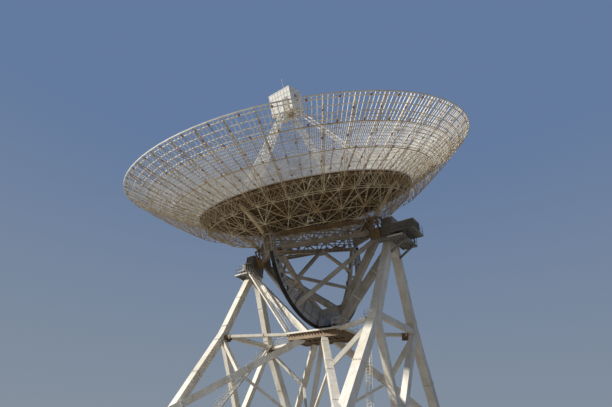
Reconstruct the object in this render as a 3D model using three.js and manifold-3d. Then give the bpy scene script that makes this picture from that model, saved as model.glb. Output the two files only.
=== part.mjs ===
// A fully steerable radio telescope with a 50 m dish on a wheel-and-track mount, as a scale model at 1:2.
// Millimetres, +Z up. The origin is on the ground at the azimuth axis, and X runs along the elevation axis.
import * as THREE from 'three';
import { mergeVertices } from 'three/addons/utils/BufferGeometryUtils.js';
import Module from 'manifold-3d';

const wasm = await Module();
wasm.setup();

// Driving dimensions of the reflector, whose own Z is the pointing direction from the elevation axis.
const DISH_RADIUS = 12500;
const DISH_DEPTH = 4200;
const VERTEX_HEIGHT = 1650;
const PANEL_THICKNESS = 30;
const BAYS = 32;
const HOOP_RADII = [8020, 9600, 11100, 12500];
const GRID_BAR = 90;
const GRID_THICKNESS = 90;
const FRAME_DEPTH = 1150;
const RIM_FRAME_DEPTH = 150;
const FRAME_PLATE = 90;
const OUTRIGGER_PLATE = 66;
const TIP_ANGLE = 22.5;

// Driving dimensions of the mount.
const AXIS_HEIGHT = 12400;
const BEARING_X = 6100;
const MID_X = 6000;
const MID_Y = 2450;
const MID_Z = 6400;
const FOOT_XY = 5850;
const FOOT_Z = 900;
const SILL_Z = 1150;
const SILL_WIDTH = 360;
const SILL_DEPTH = 420;
const LEG_WIDTH = 500;
const STRUT_WIDTH = 370;
const BRACE_WIDTH = 230;
const THIN_BRACE = 150;
const TRACK_RADIUS = Math.hypot(FOOT_XY, FOOT_XY);

// Driving dimensions of the elevation wheel and of the cradle that links it to the axles.
const WHEEL_RADIUS = 5700;
const WHEEL_X = 525;
const WHEEL_WIDTH = 250;
const RACK_DEPTH = 130;
const RACK_WIDTH = 180;
const CRADLE_HEIGHT = 1150;
const AXLE_RADIUS = 300;
const SEAT_GAP = 0.4;
const ROUND_SIDES = 24;

const paint = {
  cream: { color: 0xe4ddcd, roughness: 0.55, metalness: 0.1 },
  tan: { color: 0xa5906c, roughness: 0.7, metalness: 0.2 },
  grey: { color: 0x8b8a86, roughness: 0.5, metalness: 0.3 },
  dark: { color: 0x3c3a37, roughness: 0.6, metalness: 0.6 },
  panel: { color: 0xd8d5cc, roughness: 0.5, metalness: 0.3 },
  rail: { color: 0x6f6a64, roughness: 0.35, metalness: 0.9 },
  concrete: { color: 0xa9a69e, roughness: 0.9, metalness: 0 },
};

const point = (x, y, z) => new THREE.Vector3(x, y, z);
const radians = THREE.MathUtils.degToRad;

// A closed geometry as a solid that can be joined and cut.
function solidOf(geometry) {
  const bare = geometry.index ? geometry.toNonIndexed() : geometry.clone();
  bare.deleteAttribute('normal');
  bare.deleteAttribute('uv');
  const merged = mergeVertices(bare, 1e-3);
  const corners = merged.index.array;
  const kept = [];
  for (let i = 0; i < corners.length; i += 3) {
    const [a, b, c] = corners.slice(i, i + 3);
    if (a !== b && b !== c && c !== a) kept.push(a, b, c);
  }
  const vertProperties = new Float32Array(merged.attributes.position.array);
  return new wasm.Manifold(new wasm.Mesh({ numProp: 3, vertProperties, triVerts: new Uint32Array(kept) }));
}

// A solid's surface as a geometry with flat faces.
function geometryOf(solid) {
  const mesh = solid.getMesh();
  const shared = new THREE.BufferGeometry();
  shared.setAttribute('position', new THREE.BufferAttribute(mesh.vertProperties, 3));
  shared.setIndex(new THREE.BufferAttribute(mesh.triVerts, 1));
  const flat = shared.toNonIndexed();
  flat.computeVertexNormals();
  return flat;
}

const join = (solids) => solids.reduce((whole, next) => whole.add(next));
const cut = (solid, cutters) => cutters.reduce((left, cutter) => left.subtract(cutter), solid);

function block(low, high, grow = 0) {
  const size = high.clone().sub(low).addScalar(2 * grow);
  const centre = high.clone().add(low).multiplyScalar(0.5);
  const box = new THREE.BoxGeometry(size.x, size.y, size.z);
  return solidOf(box.translate(centre.x, centre.y, centre.z));
}

// A straight box member whose width lies level, from one end's centre to the other's.
function beam(from, to, width, depth = width, grow = 0) {
  const holder = new THREE.Object3D();
  holder.up.set(0, 0, 1);
  holder.position.copy(from).add(to).multiplyScalar(0.5);
  holder.lookAt(to);
  holder.updateMatrix();
  const box = new THREE.BoxGeometry(width + 2 * grow, depth + 2 * grow, from.distanceTo(to) + 2 * grow);
  return solidOf(box.applyMatrix4(holder.matrix));
}

function tube(from, to, radius, sides) {
  const holder = new THREE.Object3D();
  holder.position.copy(from).add(to).multiplyScalar(0.5);
  holder.lookAt(to);
  holder.updateMatrix();
  const round = new THREE.CylinderGeometry(radius, radius, from.distanceTo(to), sides).rotateX(Math.PI / 2);
  return solidOf(round.applyMatrix4(holder.matrix));
}

function cylinderAlongX(x0, x1, radius, height, sides = ROUND_SIDES) {
  const drum = new THREE.CylinderGeometry(radius, radius, Math.abs(x1 - x0), sides);
  drum.rotateZ(Math.PI / 2);
  return solidOf(drum.translate((x0 + x1) / 2, 0, height));
}

function ring(inner, outer, low, high, sides) {
  const profile = [[inner, low], [outer, low], [outer, high], [inner, high], [inner, low]];
  const turned = new THREE.LatheGeometry(profile.map(([r, z]) => new THREE.Vector2(r, z)), sides);
  return solidOf(turned.rotateX(Math.PI / 2));
}

// Where a flat plate stands: its outline runs along a level direction and up from the origin.
function upright(origin, angle) {
  const along = point(Math.cos(angle), Math.sin(angle), 0);
  const up = point(0, 0, 1);
  return new THREE.Matrix4().makeBasis(along, up, along.clone().cross(up)).setPosition(origin);
}

// A flat plate with holes, centred on its plane.
function plate(outline, holes, thickness, placed) {
  const slab = (edge, depth) => {
    const shape = new THREE.Shape(edge.map(([a, b]) => new THREE.Vector2(a, b)));
    const extruded = new THREE.ExtrudeGeometry(shape, { depth, bevelEnabled: false, steps: 1 });
    return solidOf(extruded.translate(0, 0, -depth / 2).applyMatrix4(placed));
  };
  return cut(slab(outline, thickness), holes.map((hole) => slab(hole, thickness + 20)));
}

// The three-cornered openings between a truss's chords, posts and diagonals.
function webHoles(stations, low, high, chord, web) {
  const holes = [];
  for (let i = 0; i < stations.length - 1; i += 1) {
    const left = stations[i] + web / 2;
    const right = stations[i + 1] - web / 2;
    const corner = [[left, low(left) + chord], [right, low(right) + chord]];
    const over = [[left, high(left) - chord], [right, high(right) - chord]];
    if (i % 2 === 0) {
      holes.push([[corner[0][0] + web, corner[0][1]], corner[1], [over[1][0], over[1][1] - web]]);
      holes.push([[corner[0][0], corner[0][1] + web], [over[1][0] - web, over[1][1]], over[0]]);
    } else {
      holes.push([corner[0], [corner[1][0] - web, corner[1][1]], [over[0][0], over[0][1] - web]]);
      holes.push([[corner[1][0], corner[1][1] + web], over[1], [over[0][0] + web, over[0][1]]]);
    }
  }
  return holes;
}

const telescope = new THREE.Group();
const alidade = new THREE.Group();
const tippingPart = new THREE.Group();
tippingPart.position.z = AXIS_HEIGHT;
tippingPart.rotation.x = radians(TIP_ANGLE);
alidade.add(tippingPart);
telescope.add(alidade);

function place(group, name, solid, finish, turn = 0) {
  const mesh = new THREE.Mesh(geometryOf(solid), new THREE.MeshStandardMaterial(finish));
  mesh.name = name;
  mesh.rotation.z = radians(turn);
  group.add(mesh);
}

// The fixed track: a concrete ring, a steel rail on it, and the pedestal of the centre bearing.
const RING_TOP = 300;
const RING_HALF_WIDTH = 420;
const RAIL_TOP = 360;
const RAIL_HALF_WIDTH = 90;
const PEDESTAL_RADIUS = 900;
const PEDESTAL_TOP = 700;
const TRACK_SIDES = 48;

place(telescope, 'foundation_ring', ring(TRACK_RADIUS - RING_HALF_WIDTH, TRACK_RADIUS + RING_HALF_WIDTH,
  0, RING_TOP, TRACK_SIDES), paint.concrete);
place(telescope, 'azimuth_rail', ring(TRACK_RADIUS - RAIL_HALF_WIDTH, TRACK_RADIUS + RAIL_HALF_WIDTH,
  RING_TOP + SEAT_GAP, RAIL_TOP, TRACK_SIDES), paint.rail);
const pedestal = new THREE.CylinderGeometry(PEDESTAL_RADIUS, PEDESTAL_RADIUS, PEDESTAL_TOP, 24);
pedestal.rotateX(Math.PI / 2);
place(telescope, 'pintle_pedestal', solidOf(pedestal.translate(0, 0, PEDESTAL_TOP / 2)), paint.concrete);

// The alidade's corners. Near is towards -Y, and left towards -X.
const corners = [
  { name: 'near_left', x: -1, y: -1 },
  { name: 'near_right', x: 1, y: -1 },
  { name: 'far_left', x: -1, y: 1 },
  { name: 'far_right', x: 1, y: 1 },
];
const sides = [{ name: 'left', x: -1 }, { name: 'right', x: 1 }];

// A bogie: a box frame over two wheels that stand on the rail.
const BOGIE_LENGTH = 1500;
const BOGIE_WIDTH = 520;
const BOGIE_LOW = 500;
const WHEEL_SIZE = 235;
const WHEEL_SPACING = 900;
const WHEEL_THICKNESS = 150;

function bogie(corner) {
  const frame = block(point(-BOGIE_WIDTH / 2, -BOGIE_LENGTH / 2, BOGIE_LOW),
    point(BOGIE_WIDTH / 2, BOGIE_LENGTH / 2, FOOT_Z));
  const wheels = [-1, 1].map((end) => {
    const wheel = new THREE.CylinderGeometry(WHEEL_SIZE, WHEEL_SIZE, WHEEL_THICKNESS, 16);
    wheel.rotateZ(Math.PI / 2);
    return solidOf(wheel.translate(0, end * WHEEL_SPACING / 2, RAIL_TOP + SEAT_GAP + WHEEL_SIZE));
  });
  const heading = Math.atan2(corner.y, corner.x);
  const angle = THREE.MathUtils.radToDeg(heading);
  const whole = join([frame, ...wheels]).rotate([0, 0, angle]);
  return whole.translate([corner.x * FOOT_XY, corner.y * FOOT_XY, 0]);
}
corners.forEach((corner) => place(alidade, 'bogie_' + corner.name, bogie(corner), paint.grey));

// The bearing housings on top of the two A-frames. The axles' corners just clear the flats of the bores.
const BORE_RADIUS = (AXLE_RADIUS + SEAT_GAP) / Math.cos(Math.PI / ROUND_SIDES);
const BORE = { inner: 5000, outer: 8000 };
const HOUSING = { inner: 5760, outer: 6570, halfWidth: 650, low: 11550, high: 13050 };

function housing(side, grow = 0) {
  const xs = [side.x * HOUSING.inner, side.x * HOUSING.outer].sort((a, b) => a - b);
  return block(point(xs[0], -HOUSING.halfWidth, HOUSING.low),
    point(xs[1], HOUSING.halfWidth, HOUSING.high), grow);
}
sides.forEach((side) => {
  const bore = cylinderAlongX(side.x * BORE.inner, side.x * BORE.outer, BORE_RADIUS, AXIS_HEIGHT);
  place(alidade, 'bearing_housing_' + side.name, housing(side).subtract(bore), paint.grey);
});

// The four main legs, each bent a little at the middle level, with half of the gusset under the bearing.
const GUSSET = { thickness: 340, low: 10640, arch: 10900, high: 11540, outer: 640, inner: 420, top: 260 };
const GUSSET_INSET = 15;
const LEG_TOP_Y = 280;
const LEG_TOP_SUNK = 40;
const middle = (corner) => point(corner.x * MID_X, corner.y * MID_Y, MID_Z);
const foot = (corner) => point(corner.x * FOOT_XY, corner.y * FOOT_XY, FOOT_Z);

function leg(corner, grow = 0) {
  const top = point(corner.x * BEARING_X, corner.y * LEG_TOP_Y, HOUSING.low + LEG_TOP_SUNK);
  const upper = beam(top, middle(corner), LEG_WIDTH, LEG_WIDTH, grow);
  const deeper = foot(corner).add(foot(corner).sub(middle(corner)).setLength(LEG_WIDTH));
  const lower = beam(middle(corner), deeper, LEG_WIDTH, LEG_WIDTH, grow);
  const { arch, inner, outer, low, high } = GUSSET;
  const edge = 2 * grow;
  const half = [[0, arch - edge], [inner - edge, low - edge], [outer + edge, low - edge], [GUSSET.top, high]];
  const others = [...half].reverse().slice(0, 3).map(([y, z]) => [-y, z]);
  const gusset = plate([...half, ...others], [], GUSSET.thickness + 2 * grow,
    upright(point(corner.x * (BEARING_X - GUSSET_INSET), 0, 0), Math.PI / 2));
  return join([upper, lower, gusset]).trimByPlane([0, 0, 1], FOOT_Z + SEAT_GAP - grow)
    .trimByPlane([0, corner.y, 0], SEAT_GAP / 2 - grow);
}
const everyLeg = join(corners.map((corner) => leg(corner, SEAT_GAP)));
corners.forEach((corner) => {
  const above = housing(sides[corner.x < 0 ? 0 : 1], SEAT_GAP);
  place(alidade, 'leg_' + corner.name, leg(corner).subtract(above), paint.cream);
});

// Each A-frame's level beam, with the two inner legs that run down from it to the middle of the sill.
const LEVEL_BEAM = 300;

function sideTruss(side, grow = 0) {
  const near = point(side.x * MID_X, -MID_Y, MID_Z);
  const far = point(side.x * MID_X, MID_Y, MID_Z);
  const sillMiddle = point(side.x * FOOT_XY, 0, SILL_Z);
  const truss = join([
    beam(near, far, LEVEL_BEAM, LEVEL_BEAM, grow),
    beam(near, sillMiddle, STRUT_WIDTH, STRUT_WIDTH, grow),
    beam(far, sillMiddle, STRUT_WIDTH, STRUT_WIDTH, grow),
  ]);
  return truss.trimByPlane([0, 0, 1], SILL_Z + SILL_DEPTH / 2 + SEAT_GAP - grow);
}
const fatSideTrusses = sides.map((side) => sideTruss(side, SEAT_GAP));

// The sills tie the feet together all round.
const sillAt = (x, y) => point(x * FOOT_XY, y * FOOT_XY, SILL_Z);
const sideSill = (x, grow = 0) => beam(sillAt(x, -1), sillAt(x, 1), SILL_WIDTH, SILL_DEPTH, grow);
const endSill = (y, grow = 0) => beam(sillAt(-1, y), sillAt(1, y), SILL_WIDTH, SILL_DEPTH, grow);
sides.forEach((side) => {
  place(alidade, 'side_truss_' + side.name, sideTruss(side).subtract(everyLeg), paint.cream);
  place(alidade, 'sill_' + side.name, sideSill(side.x).subtract(everyLeg), paint.cream);
});
place(alidade, 'sill_near', endSill(-1).subtract(everyLeg), paint.cream);
place(alidade, 'sill_far', endSill(1).subtract(everyLeg), paint.cream);

// The platform in the middle, under the elevation wheel, with its beams out to the four legs.
const PLATFORM = { x0: -1350, x1: 2900, halfWidth: 1150, low: 5850, high: 6340 };
const ARM = { width: 300, depth: 180, z: 6250, inset: 250 };

const platformSlab = (grow = 0) => block(point(PLATFORM.x0, -PLATFORM.halfWidth, PLATFORM.low),
  point(PLATFORM.x1, PLATFORM.halfWidth, PLATFORM.high), grow);
const armSolids = (grow = 0) => corners.map((corner) => {
  const edge = corner.x < 0 ? PLATFORM.x0 + ARM.inset : PLATFORM.x1 - ARM.inset;
  const inner = point(edge, corner.y * (PLATFORM.halfWidth - ARM.inset), ARM.z);
  return beam(middle(corner).setZ(ARM.z), inner, ARM.width, ARM.depth, grow);
});
const platform = join([platformSlab(), ...armSolids()]);
place(alidade, 'drive_platform', cut(platform, [everyLeg, ...fatSideTrusses]), paint.cream);

// The centre bearing's hub on the pedestal, with its four ties to the sills and the post up to the platform.
const HUB_RADIUS = 620;
const HUB_TOP = 1400;
const TIE_WIDTH = 280;
const POST = { x: 750, y: 250, width: 260, sunk: 400 };

function pintleHub(grow = 0) {
  const height = HUB_TOP - PEDESTAL_TOP - SEAT_GAP;
  const drum = new THREE.CylinderGeometry(HUB_RADIUS + grow, HUB_RADIUS + grow, height, ROUND_SIDES);
  drum.rotateX(Math.PI / 2).translate(0, 0, HUB_TOP - height / 2);
  const reach = FOOT_XY - SILL_WIDTH / 2 - SEAT_GAP;
  return join([
    solidOf(drum),
    beam(point(-reach, 0, SILL_Z), point(reach, 0, SILL_Z), TIE_WIDTH, TIE_WIDTH, grow),
    beam(point(0, -reach, SILL_Z), point(0, reach, SILL_Z), TIE_WIDTH, TIE_WIDTH, grow),
    beam(point(0, 0, HUB_TOP - POST.sunk), point(POST.x, POST.y, ARM.z), POST.width, POST.width, grow),
  ]);
}
place(alidade, 'pintle_hub', pintleHub().subtract(platformSlab(SEAT_GAP)), paint.cream);

// The struts from under the platform to the feet, braced up to the legs' middle nodes and down to the hub.
const STRUT_TOP = { x: 600, apart: 800, y: 650, sunk: 100 };
const STRUT_FOOT_LIFT = 250;
const STRUT_NODE_SHARE = 0.5;
const BRACE_DROP = 220;
const THIN_BRACE_END = { apart: 300, lift: 60 };
const largerOf = (one, other) => (other.volume() > one.volume() ? other : one);
const largestOf = (solid) => solid.decompose().reduce(largerOf);
corners.forEach((corner) => {
  const topX = STRUT_TOP.x + corner.x * STRUT_TOP.apart;
  const top = point(topX, corner.y * STRUT_TOP.y, PLATFORM.low + STRUT_TOP.sunk);
  const low = foot(corner).setZ(SILL_Z + STRUT_FOOT_LIFT);
  const node = top.clone().lerp(low, STRUT_NODE_SHARE);
  const { apart, lift } = THIN_BRACE_END;
  const hubEnd = point(corner.x * apart, corner.y * apart, SILL_Z + lift);
  const strut = join([
    beam(top, low, STRUT_WIDTH),
    beam(middle(corner).setZ(MID_Z - BRACE_DROP), node, BRACE_WIDTH),
    beam(node, hubEnd, THIN_BRACE),
  ]);
  const neighbours = [platformSlab(SEAT_GAP), ...armSolids(SEAT_GAP), everyLeg, ...fatSideTrusses,
    sideSill(corner.x, SEAT_GAP), endSill(corner.y, SEAT_GAP), pintleHub(SEAT_GAP)];
  place(alidade, 'platform_strut_' + corner.name, largestOf(cut(strut, neighbours)), paint.cream);
});

// The V of two large struts from the bearings down to the platform, left and right of the wheel.
const V_TOP = { x: 6050, z: 11300 };
const V_FOOT = { left: point(-450, 0, 6480), right: point(1800, 0, 6300), widest: -200 };
const V_STRUT = { width: 420, depth: 440 };
sides.forEach((side) => {
  const strut = beam(point(side.x * V_TOP.x, 0, V_TOP.z), V_FOOT[side.name], V_STRUT.width, V_STRUT.depth);
  const parted = side.x < 0 ? strut.trimByPlane([-1, 0, 0], -V_FOOT.widest) : strut;
  const solid = largestOf(cut(parted, [housing(side, SEAT_GAP), platformSlab(SEAT_GAP), everyLeg]));
  place(alidade, 'v_strut_' + side.name, solid, paint.cream);
});

// The elevation drive on the platform: a gearbox, with its pinion's shaft under the rack and a bearing plate.
const PINION = { radius: 90, clearance: 6, x0: 250, x1: 720, inPlate: 30, inGearbox: 50, sides: 12 };
const pinionZ = AXIS_HEIGHT - WHEEL_RADIUS - RACK_DEPTH - PINION.clearance - PINION.radius;
const GEARBOX = { x1: 1350, halfWidth: 420, high: 6690 };
const PINION_PLATE = { thickness: 110, halfWidth: 160, over: 120 };
const driveLow = PLATFORM.high + SEAT_GAP;
place(alidade, 'elevation_drive', join([
  block(point(PINION.x1, -GEARBOX.halfWidth, driveLow), point(GEARBOX.x1, GEARBOX.halfWidth, GEARBOX.high)),
  block(point(PINION.x0, -PINION_PLATE.halfWidth, driveLow),
    point(PINION.x0 + PINION_PLATE.thickness, PINION_PLATE.halfWidth, pinionZ + PINION_PLATE.over)),
  cylinderAlongX(PINION.x0 + PINION.inPlate, PINION.x1 + PINION.inGearbox, PINION.radius, pinionZ,
    PINION.sides),
]), paint.dark);

// The platforms at the bearings: a lower one in an L round the legs' tops, and an upper one with a box on it.
const LOWER_DECK = { low: 11300, high: 11360, inner: 5640, beside: 6420, outer: 7450 };
const LOWER_DECK_Y = { near: -1250, clear: -720, far: 1000 };
const UPPER_DECK = { low: 11820, high: 11880, inner: 6571, outer: 8000, halfWidth: 800 };
const BOX = { inset: 100, halfWidth: 480, high: 12600 };
const DECK_POST = { inner: 6680, outer: 7380, y: 700, width: 70 };
const DECK_OVERLAP = 20;
const SHORTER = { left: { lower: 400, upper: 800 }, right: { lower: 0, upper: 0 } };
const KNEE = { y: 600, outer: 7400, legX: 6100, legZ: 10450, width: 110, sunk: 30 };

sides.forEach((side) => {
  const slab = (x0, x1, y0, y1, z0, z1) => {
    const xs = [side.x * x0, side.x * x1].sort((a, b) => a - b);
    return block(point(xs[0], y0, z0), point(xs[1], y1, z1));
  };
  const { low, high, inner, beside } = LOWER_DECK;
  const shorter = SHORTER[side.name];
  const outer = LOWER_DECK.outer - shorter.lower;
  const upperEnd = UPPER_DECK.outer - shorter.upper;
  const { near, clear, far } = LOWER_DECK_Y;
  const { halfWidth } = UPPER_DECK;
  const sunk = UPPER_DECK.high - DECK_OVERLAP;
  const half = DECK_POST.width / 2;
  const postXs = [DECK_POST.inner, DECK_POST.outer - shorter.lower];
  const posts = postXs.flatMap((x) => [-DECK_POST.y, DECK_POST.y].map((y) =>
    slab(x - half, x + half, y - half, y + half, low + DECK_OVERLAP, sunk)));
  const kneeTop = LOWER_DECK.low + KNEE.sunk;
  const knees = [-1, 1].map((end) => beam(
    point(side.x * (KNEE.outer - shorter.lower), end * KNEE.y, kneeTop),
    point(side.x * KNEE.legX, end * KNEE.y, KNEE.legZ),
    KNEE.width,
  ));
  const whole = join([
    slab(inner, outer, near, clear, low, high),
    slab(beside, outer, near, far, low, high),
    slab(UPPER_DECK.inner, upperEnd, -halfWidth, halfWidth, UPPER_DECK.low, UPPER_DECK.high),
    slab(UPPER_DECK.inner, upperEnd - BOX.inset, -BOX.halfWidth, BOX.halfWidth, sunk, BOX.high),
    ...posts, ...knees,
  ]);
  place(alidade, 'bearing_platform_' + side.name, largestOf(whole.subtract(everyLeg)), paint.grey);
});

// The stairs: a flight inside the left side frame up to its middle level, and one up to the left bearing.
const STAIR_WIDTH = 430;
const STEP_RISE = 100;
const STAIR_WAIST = 90;

function flight(start, end) {
  const run = Math.hypot(end.x - start.x, end.y - start.y);
  const height = end.z - start.z;
  const count = Math.round(height / STEP_RISE);
  const outline = [[0, -STAIR_WAIST], [run, height - STAIR_WAIST]];
  for (let i = count; i > 0; i -= 1) {
    outline.push([(i * run) / count, (i * height) / count], [((i - 1) * run) / count, (i * height) / count]);
  }
  const heading = Math.atan2(end.y - start.y, end.x - start.x);
  return plate(outline, [], STAIR_WIDTH, upright(start, heading)).trimByPlane([0, 0, 1], start.z);
}

const LOWER_STAIR = { x: -5425, y0: -4150, z0: 60, y1: 1850, landing: 2440 };
const BRACKET = { y: -3036, halfWidth: 60, reach: 60, depth: 130 };
const LANDING_OVERLAP = 20;
const LANDING_PLATE = 60;
const landingTop = ARM.z + ARM.depth / 2 + LANDING_PLATE;
const stairPoint = (y, z) => point(LOWER_STAIR.x, y, z);
const stairLeft = LOWER_STAIR.x - STAIR_WIDTH / 2;
const stairRight = LOWER_STAIR.x + STAIR_WIDTH / 2;
const sillFace = SEAT_GAP - FOOT_XY + SILL_WIDTH / 2;
place(alidade, 'stair_lower', join([
  flight(stairPoint(LOWER_STAIR.y0, LOWER_STAIR.z0), stairPoint(LOWER_STAIR.y1, landingTop)),
  block(point(stairLeft, LOWER_STAIR.y1 - LANDING_OVERLAP, landingTop - LANDING_PLATE + SEAT_GAP),
    point(stairRight, LOWER_STAIR.landing, landingTop)),
  block(point(sillFace, BRACKET.y - BRACKET.halfWidth, SILL_Z),
    point(stairLeft + BRACKET.reach, BRACKET.y + BRACKET.halfWidth, SILL_Z + BRACKET.depth)),
]), paint.cream);

const UPPER_STAIR = { x: -1300, y: -930 };
place(alidade, 'stair_upper', flight(point(UPPER_STAIR.x, UPPER_STAIR.y, driveLow),
  point(-LOWER_DECK.inner + SEAT_GAP, UPPER_STAIR.y, LOWER_DECK.high)), paint.cream);

// The caged ladder's rails and rungs, hung on the near right arm of the platform.
const LADDER = { x: 5100, y: -1835, low: 250, high: 6890, halfWidth: 115, rail: 30, rung: 20, spacing: 150 };
const LADDER_HOOK = { reach: 120, half: 30 };
const ladderRail = (end) => {
  const [x, half] = [LADDER.x + end * LADDER.halfWidth, LADDER.rail / 2];
  return block(point(x - half, LADDER.y - half, LADDER.low), point(x + half, LADDER.y + half, LADDER.high));
};
const rungs = [];
for (let z = LADDER.low + LADDER.spacing; z < LADDER.high; z += LADDER.spacing) {
  rungs.push(block(point(LADDER.x - LADDER.halfWidth, LADDER.y - LADDER.rung / 2, z),
    point(LADDER.x + LADDER.halfWidth, LADDER.y + LADDER.rung / 2, z + LADDER.rung)));
}
const ladderHook = block(
  point(LADDER.x - LADDER.halfWidth, LADDER.y - LADDER_HOOK.reach, ARM.z - LADDER_HOOK.half),
  point(LADDER.x + LADDER.halfWidth, LADDER.y, ARM.z + LADDER_HOOK.half),
);
const ladder = join([ladderRail(-1), ladderRail(1), ...rungs, ladderHook]);
place(alidade, 'caged_ladder', largestOf(cut(ladder, armSolids(SEAT_GAP))), paint.cream);

// The elevation wheel: a half-round girder with a straight top chord, two spars and a tie. Its ends rise into
// wide horns that join the cradle's halves.
const ARC_STEPS = 24;
const arcPoint = (radius, degrees) => [Math.cos(radians(degrees)) * radius,
  Math.sin(radians(degrees)) * radius];
const wheelOutline = [];
const rimAngle = (i) => 180 + (180 * i) / ARC_STEPS;
for (let i = 0; i <= ARC_STEPS; i += 1) wheelOutline.push(arcPoint(WHEEL_RADIUS, rimAngle(i)));
const HORN = { x0: -50, x1: 650, inner: 5200, sunk: 100 };
const horns = [-1, 1].map((end) => {
  const ys = [end * HORN.inner, end * WHEEL_RADIUS].sort((a, b) => a - b);
  return block(point(HORN.x0, ys[0], -HORN.sunk), point(HORN.x1, ys[1], CRADLE_HEIGHT));
});
const V_HALF = [[-4500, -300], [-2930, -2770], [-1510, -4200]];
const V_HOLE = [...V_HALF, ...[...V_HALF].reverse().map(([y, z]) => [-y, z])];
const SPAR = { width: 200, depth: 225, top: -150 };
const SPAR_ENDS = [
  [[0, SPAR.top], [-3650, -1935]],
  [[0, SPAR.top], [3650, -1935]],
  [[-3420, -1800], [2700, -3144]],
];
const inWheel = ([y, z]) => point(WHEEL_X, y, z);
const spars = SPAR_ENDS.map(([from, to]) => beam(inWheel(from), inWheel(to), SPAR.width, SPAR.depth));
const wheelPlane = upright(point(WHEEL_X, 0, 0), Math.PI / 2);
const wheel = plate(wheelOutline, [V_HOLE], WHEEL_WIDTH, wheelPlane);
place(tippingPart, 'elevation_wheel', join([wheel, ...spars, ...horns]), paint.grey);

// The toothed rack's band on the wheel's rim.
const rackOutline = [];
for (let i = 1; i < ARC_STEPS; i += 1) rackOutline.push(arcPoint(WHEEL_RADIUS + RACK_DEPTH, rimAngle(i)));
for (let i = ARC_STEPS - 1; i > 0; i -= 1) rackOutline.push(arcPoint(WHEEL_RADIUS + SEAT_GAP, rimAngle(i)));
place(tippingPart, 'wheel_rack', plate(rackOutline, [], RACK_WIDTH, wheelPlane), paint.dark);

// The cradle's halves: two trusses from the wheel's ends meet at the axle's block.
const CRADLE_X = 5200;
const CRADLE_END_Y = WHEEL_RADIUS - 250;
const AXLE_BLOCK = { inner: 4700, outer: 5600, halfWidth: 450, low: -350 };
const AXLE = { inner: 5500, outer: 6500 };
const CRADLE_TRUSS = { plain: 400, bays: 6, chord: 150, web: 110, thickness: 300 };

const hornFace = (side) => (side.x < 0 ? HORN.x0 - SEAT_GAP : HORN.x1 + SEAT_GAP);

function axleBlock(side, grow = 0) {
  const xs = [side.x * AXLE_BLOCK.inner, side.x * AXLE_BLOCK.outer].sort((a, b) => a - b);
  return block(point(xs[0], -AXLE_BLOCK.halfWidth, AXLE_BLOCK.low),
    point(xs[1], AXLE_BLOCK.halfWidth, CRADLE_HEIGHT), grow);
}
sides.forEach((side) => {
  const walls = [-1, 1].map((end) => {
    const length = Math.hypot(CRADLE_X, CRADLE_END_Y);
    const angle = Math.atan2(end * CRADLE_END_Y, -side.x * CRADLE_X);
    const { plain, bays, chord, web, thickness } = CRADLE_TRUSS;
    const bayLength = (length - 2 * plain) / bays;
    const stations = Array.from({ length: bays + 1 }, (_, i) => plain + i * bayLength);
    const outline = [[0, 0], [length, 0], [length, CRADLE_HEIGHT], [0, CRADLE_HEIGHT]];
    const holes = webHoles(stations, () => 0, () => CRADLE_HEIGHT, chord, web);
    return plate(outline, holes, thickness, upright(point(side.x * CRADLE_X, 0, 0), angle));
  });
  const axle = cylinderAlongX(side.x * AXLE.inner, side.x * AXLE.outer, AXLE_RADIUS, 0);
  const whole = join([...walls, axleBlock(side), axle]).trimByPlane([side.x, 0, 0], side.x * hornFace(side));
  place(tippingPart, 'cradle_' + side.name, whole, paint.tan);
});

// The stays that hold the wheel upright: a big one behind and a slimmer one in front, from each axle block.
const STAY_START = { x: 5100, z: -200 };
const STAYS = [{ y: 1000, z: -4640, width: 420 }, { y: -4100, z: -3425, width: 280 }];
const STAY_OVERRUN = 1.07;
sides.forEach((side) => {
  const start = point(side.x * STAY_START.x, 0, STAY_START.z);
  const stays = join(STAYS.map(({ y, z, width }) => {
    const atFace = point(WHEEL_X + (side.x * WHEEL_WIDTH) / 2, y, z);
    return beam(start, start.clone().lerp(atFace, STAY_OVERRUN), width);
  }));
  const wheelFace = WHEEL_X + side.x * (WHEEL_WIDTH / 2 + SEAT_GAP);
  const trimmed = stays.trimByPlane([side.x, 0, 0], side.x * wheelFace);
  const solid = largestOf(trimmed.subtract(axleBlock(side, SEAT_GAP)));
  place(tippingPart, 'wheel_stay_' + side.name, solid, paint.grey);
});

// The reflector's surface, and the height of its back frame's lower chord, over the elevation axis.
const surface = (r) => VERTEX_HEIGHT + DISH_DEPTH * (r / DISH_RADIUS) ** 2;
const PANEL_STATIONS = [0, 1600, 3200, 4800, 6400, 7990];

function alongPanels(r) {
  const i = Math.min(PANEL_STATIONS.findIndex((end) => r <= end), PANEL_STATIONS.length - 1);
  if (i <= 0) return surface(r);
  const [r0, r1] = [PANEL_STATIONS[i - 1], PANEL_STATIONS[i]];
  return THREE.MathUtils.mapLinear(r, r0, r1, surface(r0), surface(r1));
}

function panelBowl(grow = 0) {
  const under = PANEL_STATIONS.map((r) => new THREE.Vector2(r, surface(r) - PANEL_THICKNESS - grow));
  const over = PANEL_STATIONS.map((r) => new THREE.Vector2(r, surface(r) + grow)).reverse();
  return solidOf(new THREE.LatheGeometry([...under, ...over], BAYS).rotateX(Math.PI / 2));
}

// Each feed leg's tube goes on through a hole in the panels and down to a corner of the cradle.
const FEED_FOOT_RADIUS = 7300;
const TUBE = { radius: 150, foot: 5450, sides: 12, over: 60, cutterOver: 460 };
const feedFoot = point(FEED_FOOT_RADIUS, 0, surface(FEED_FOOT_RADIUS));

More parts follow.
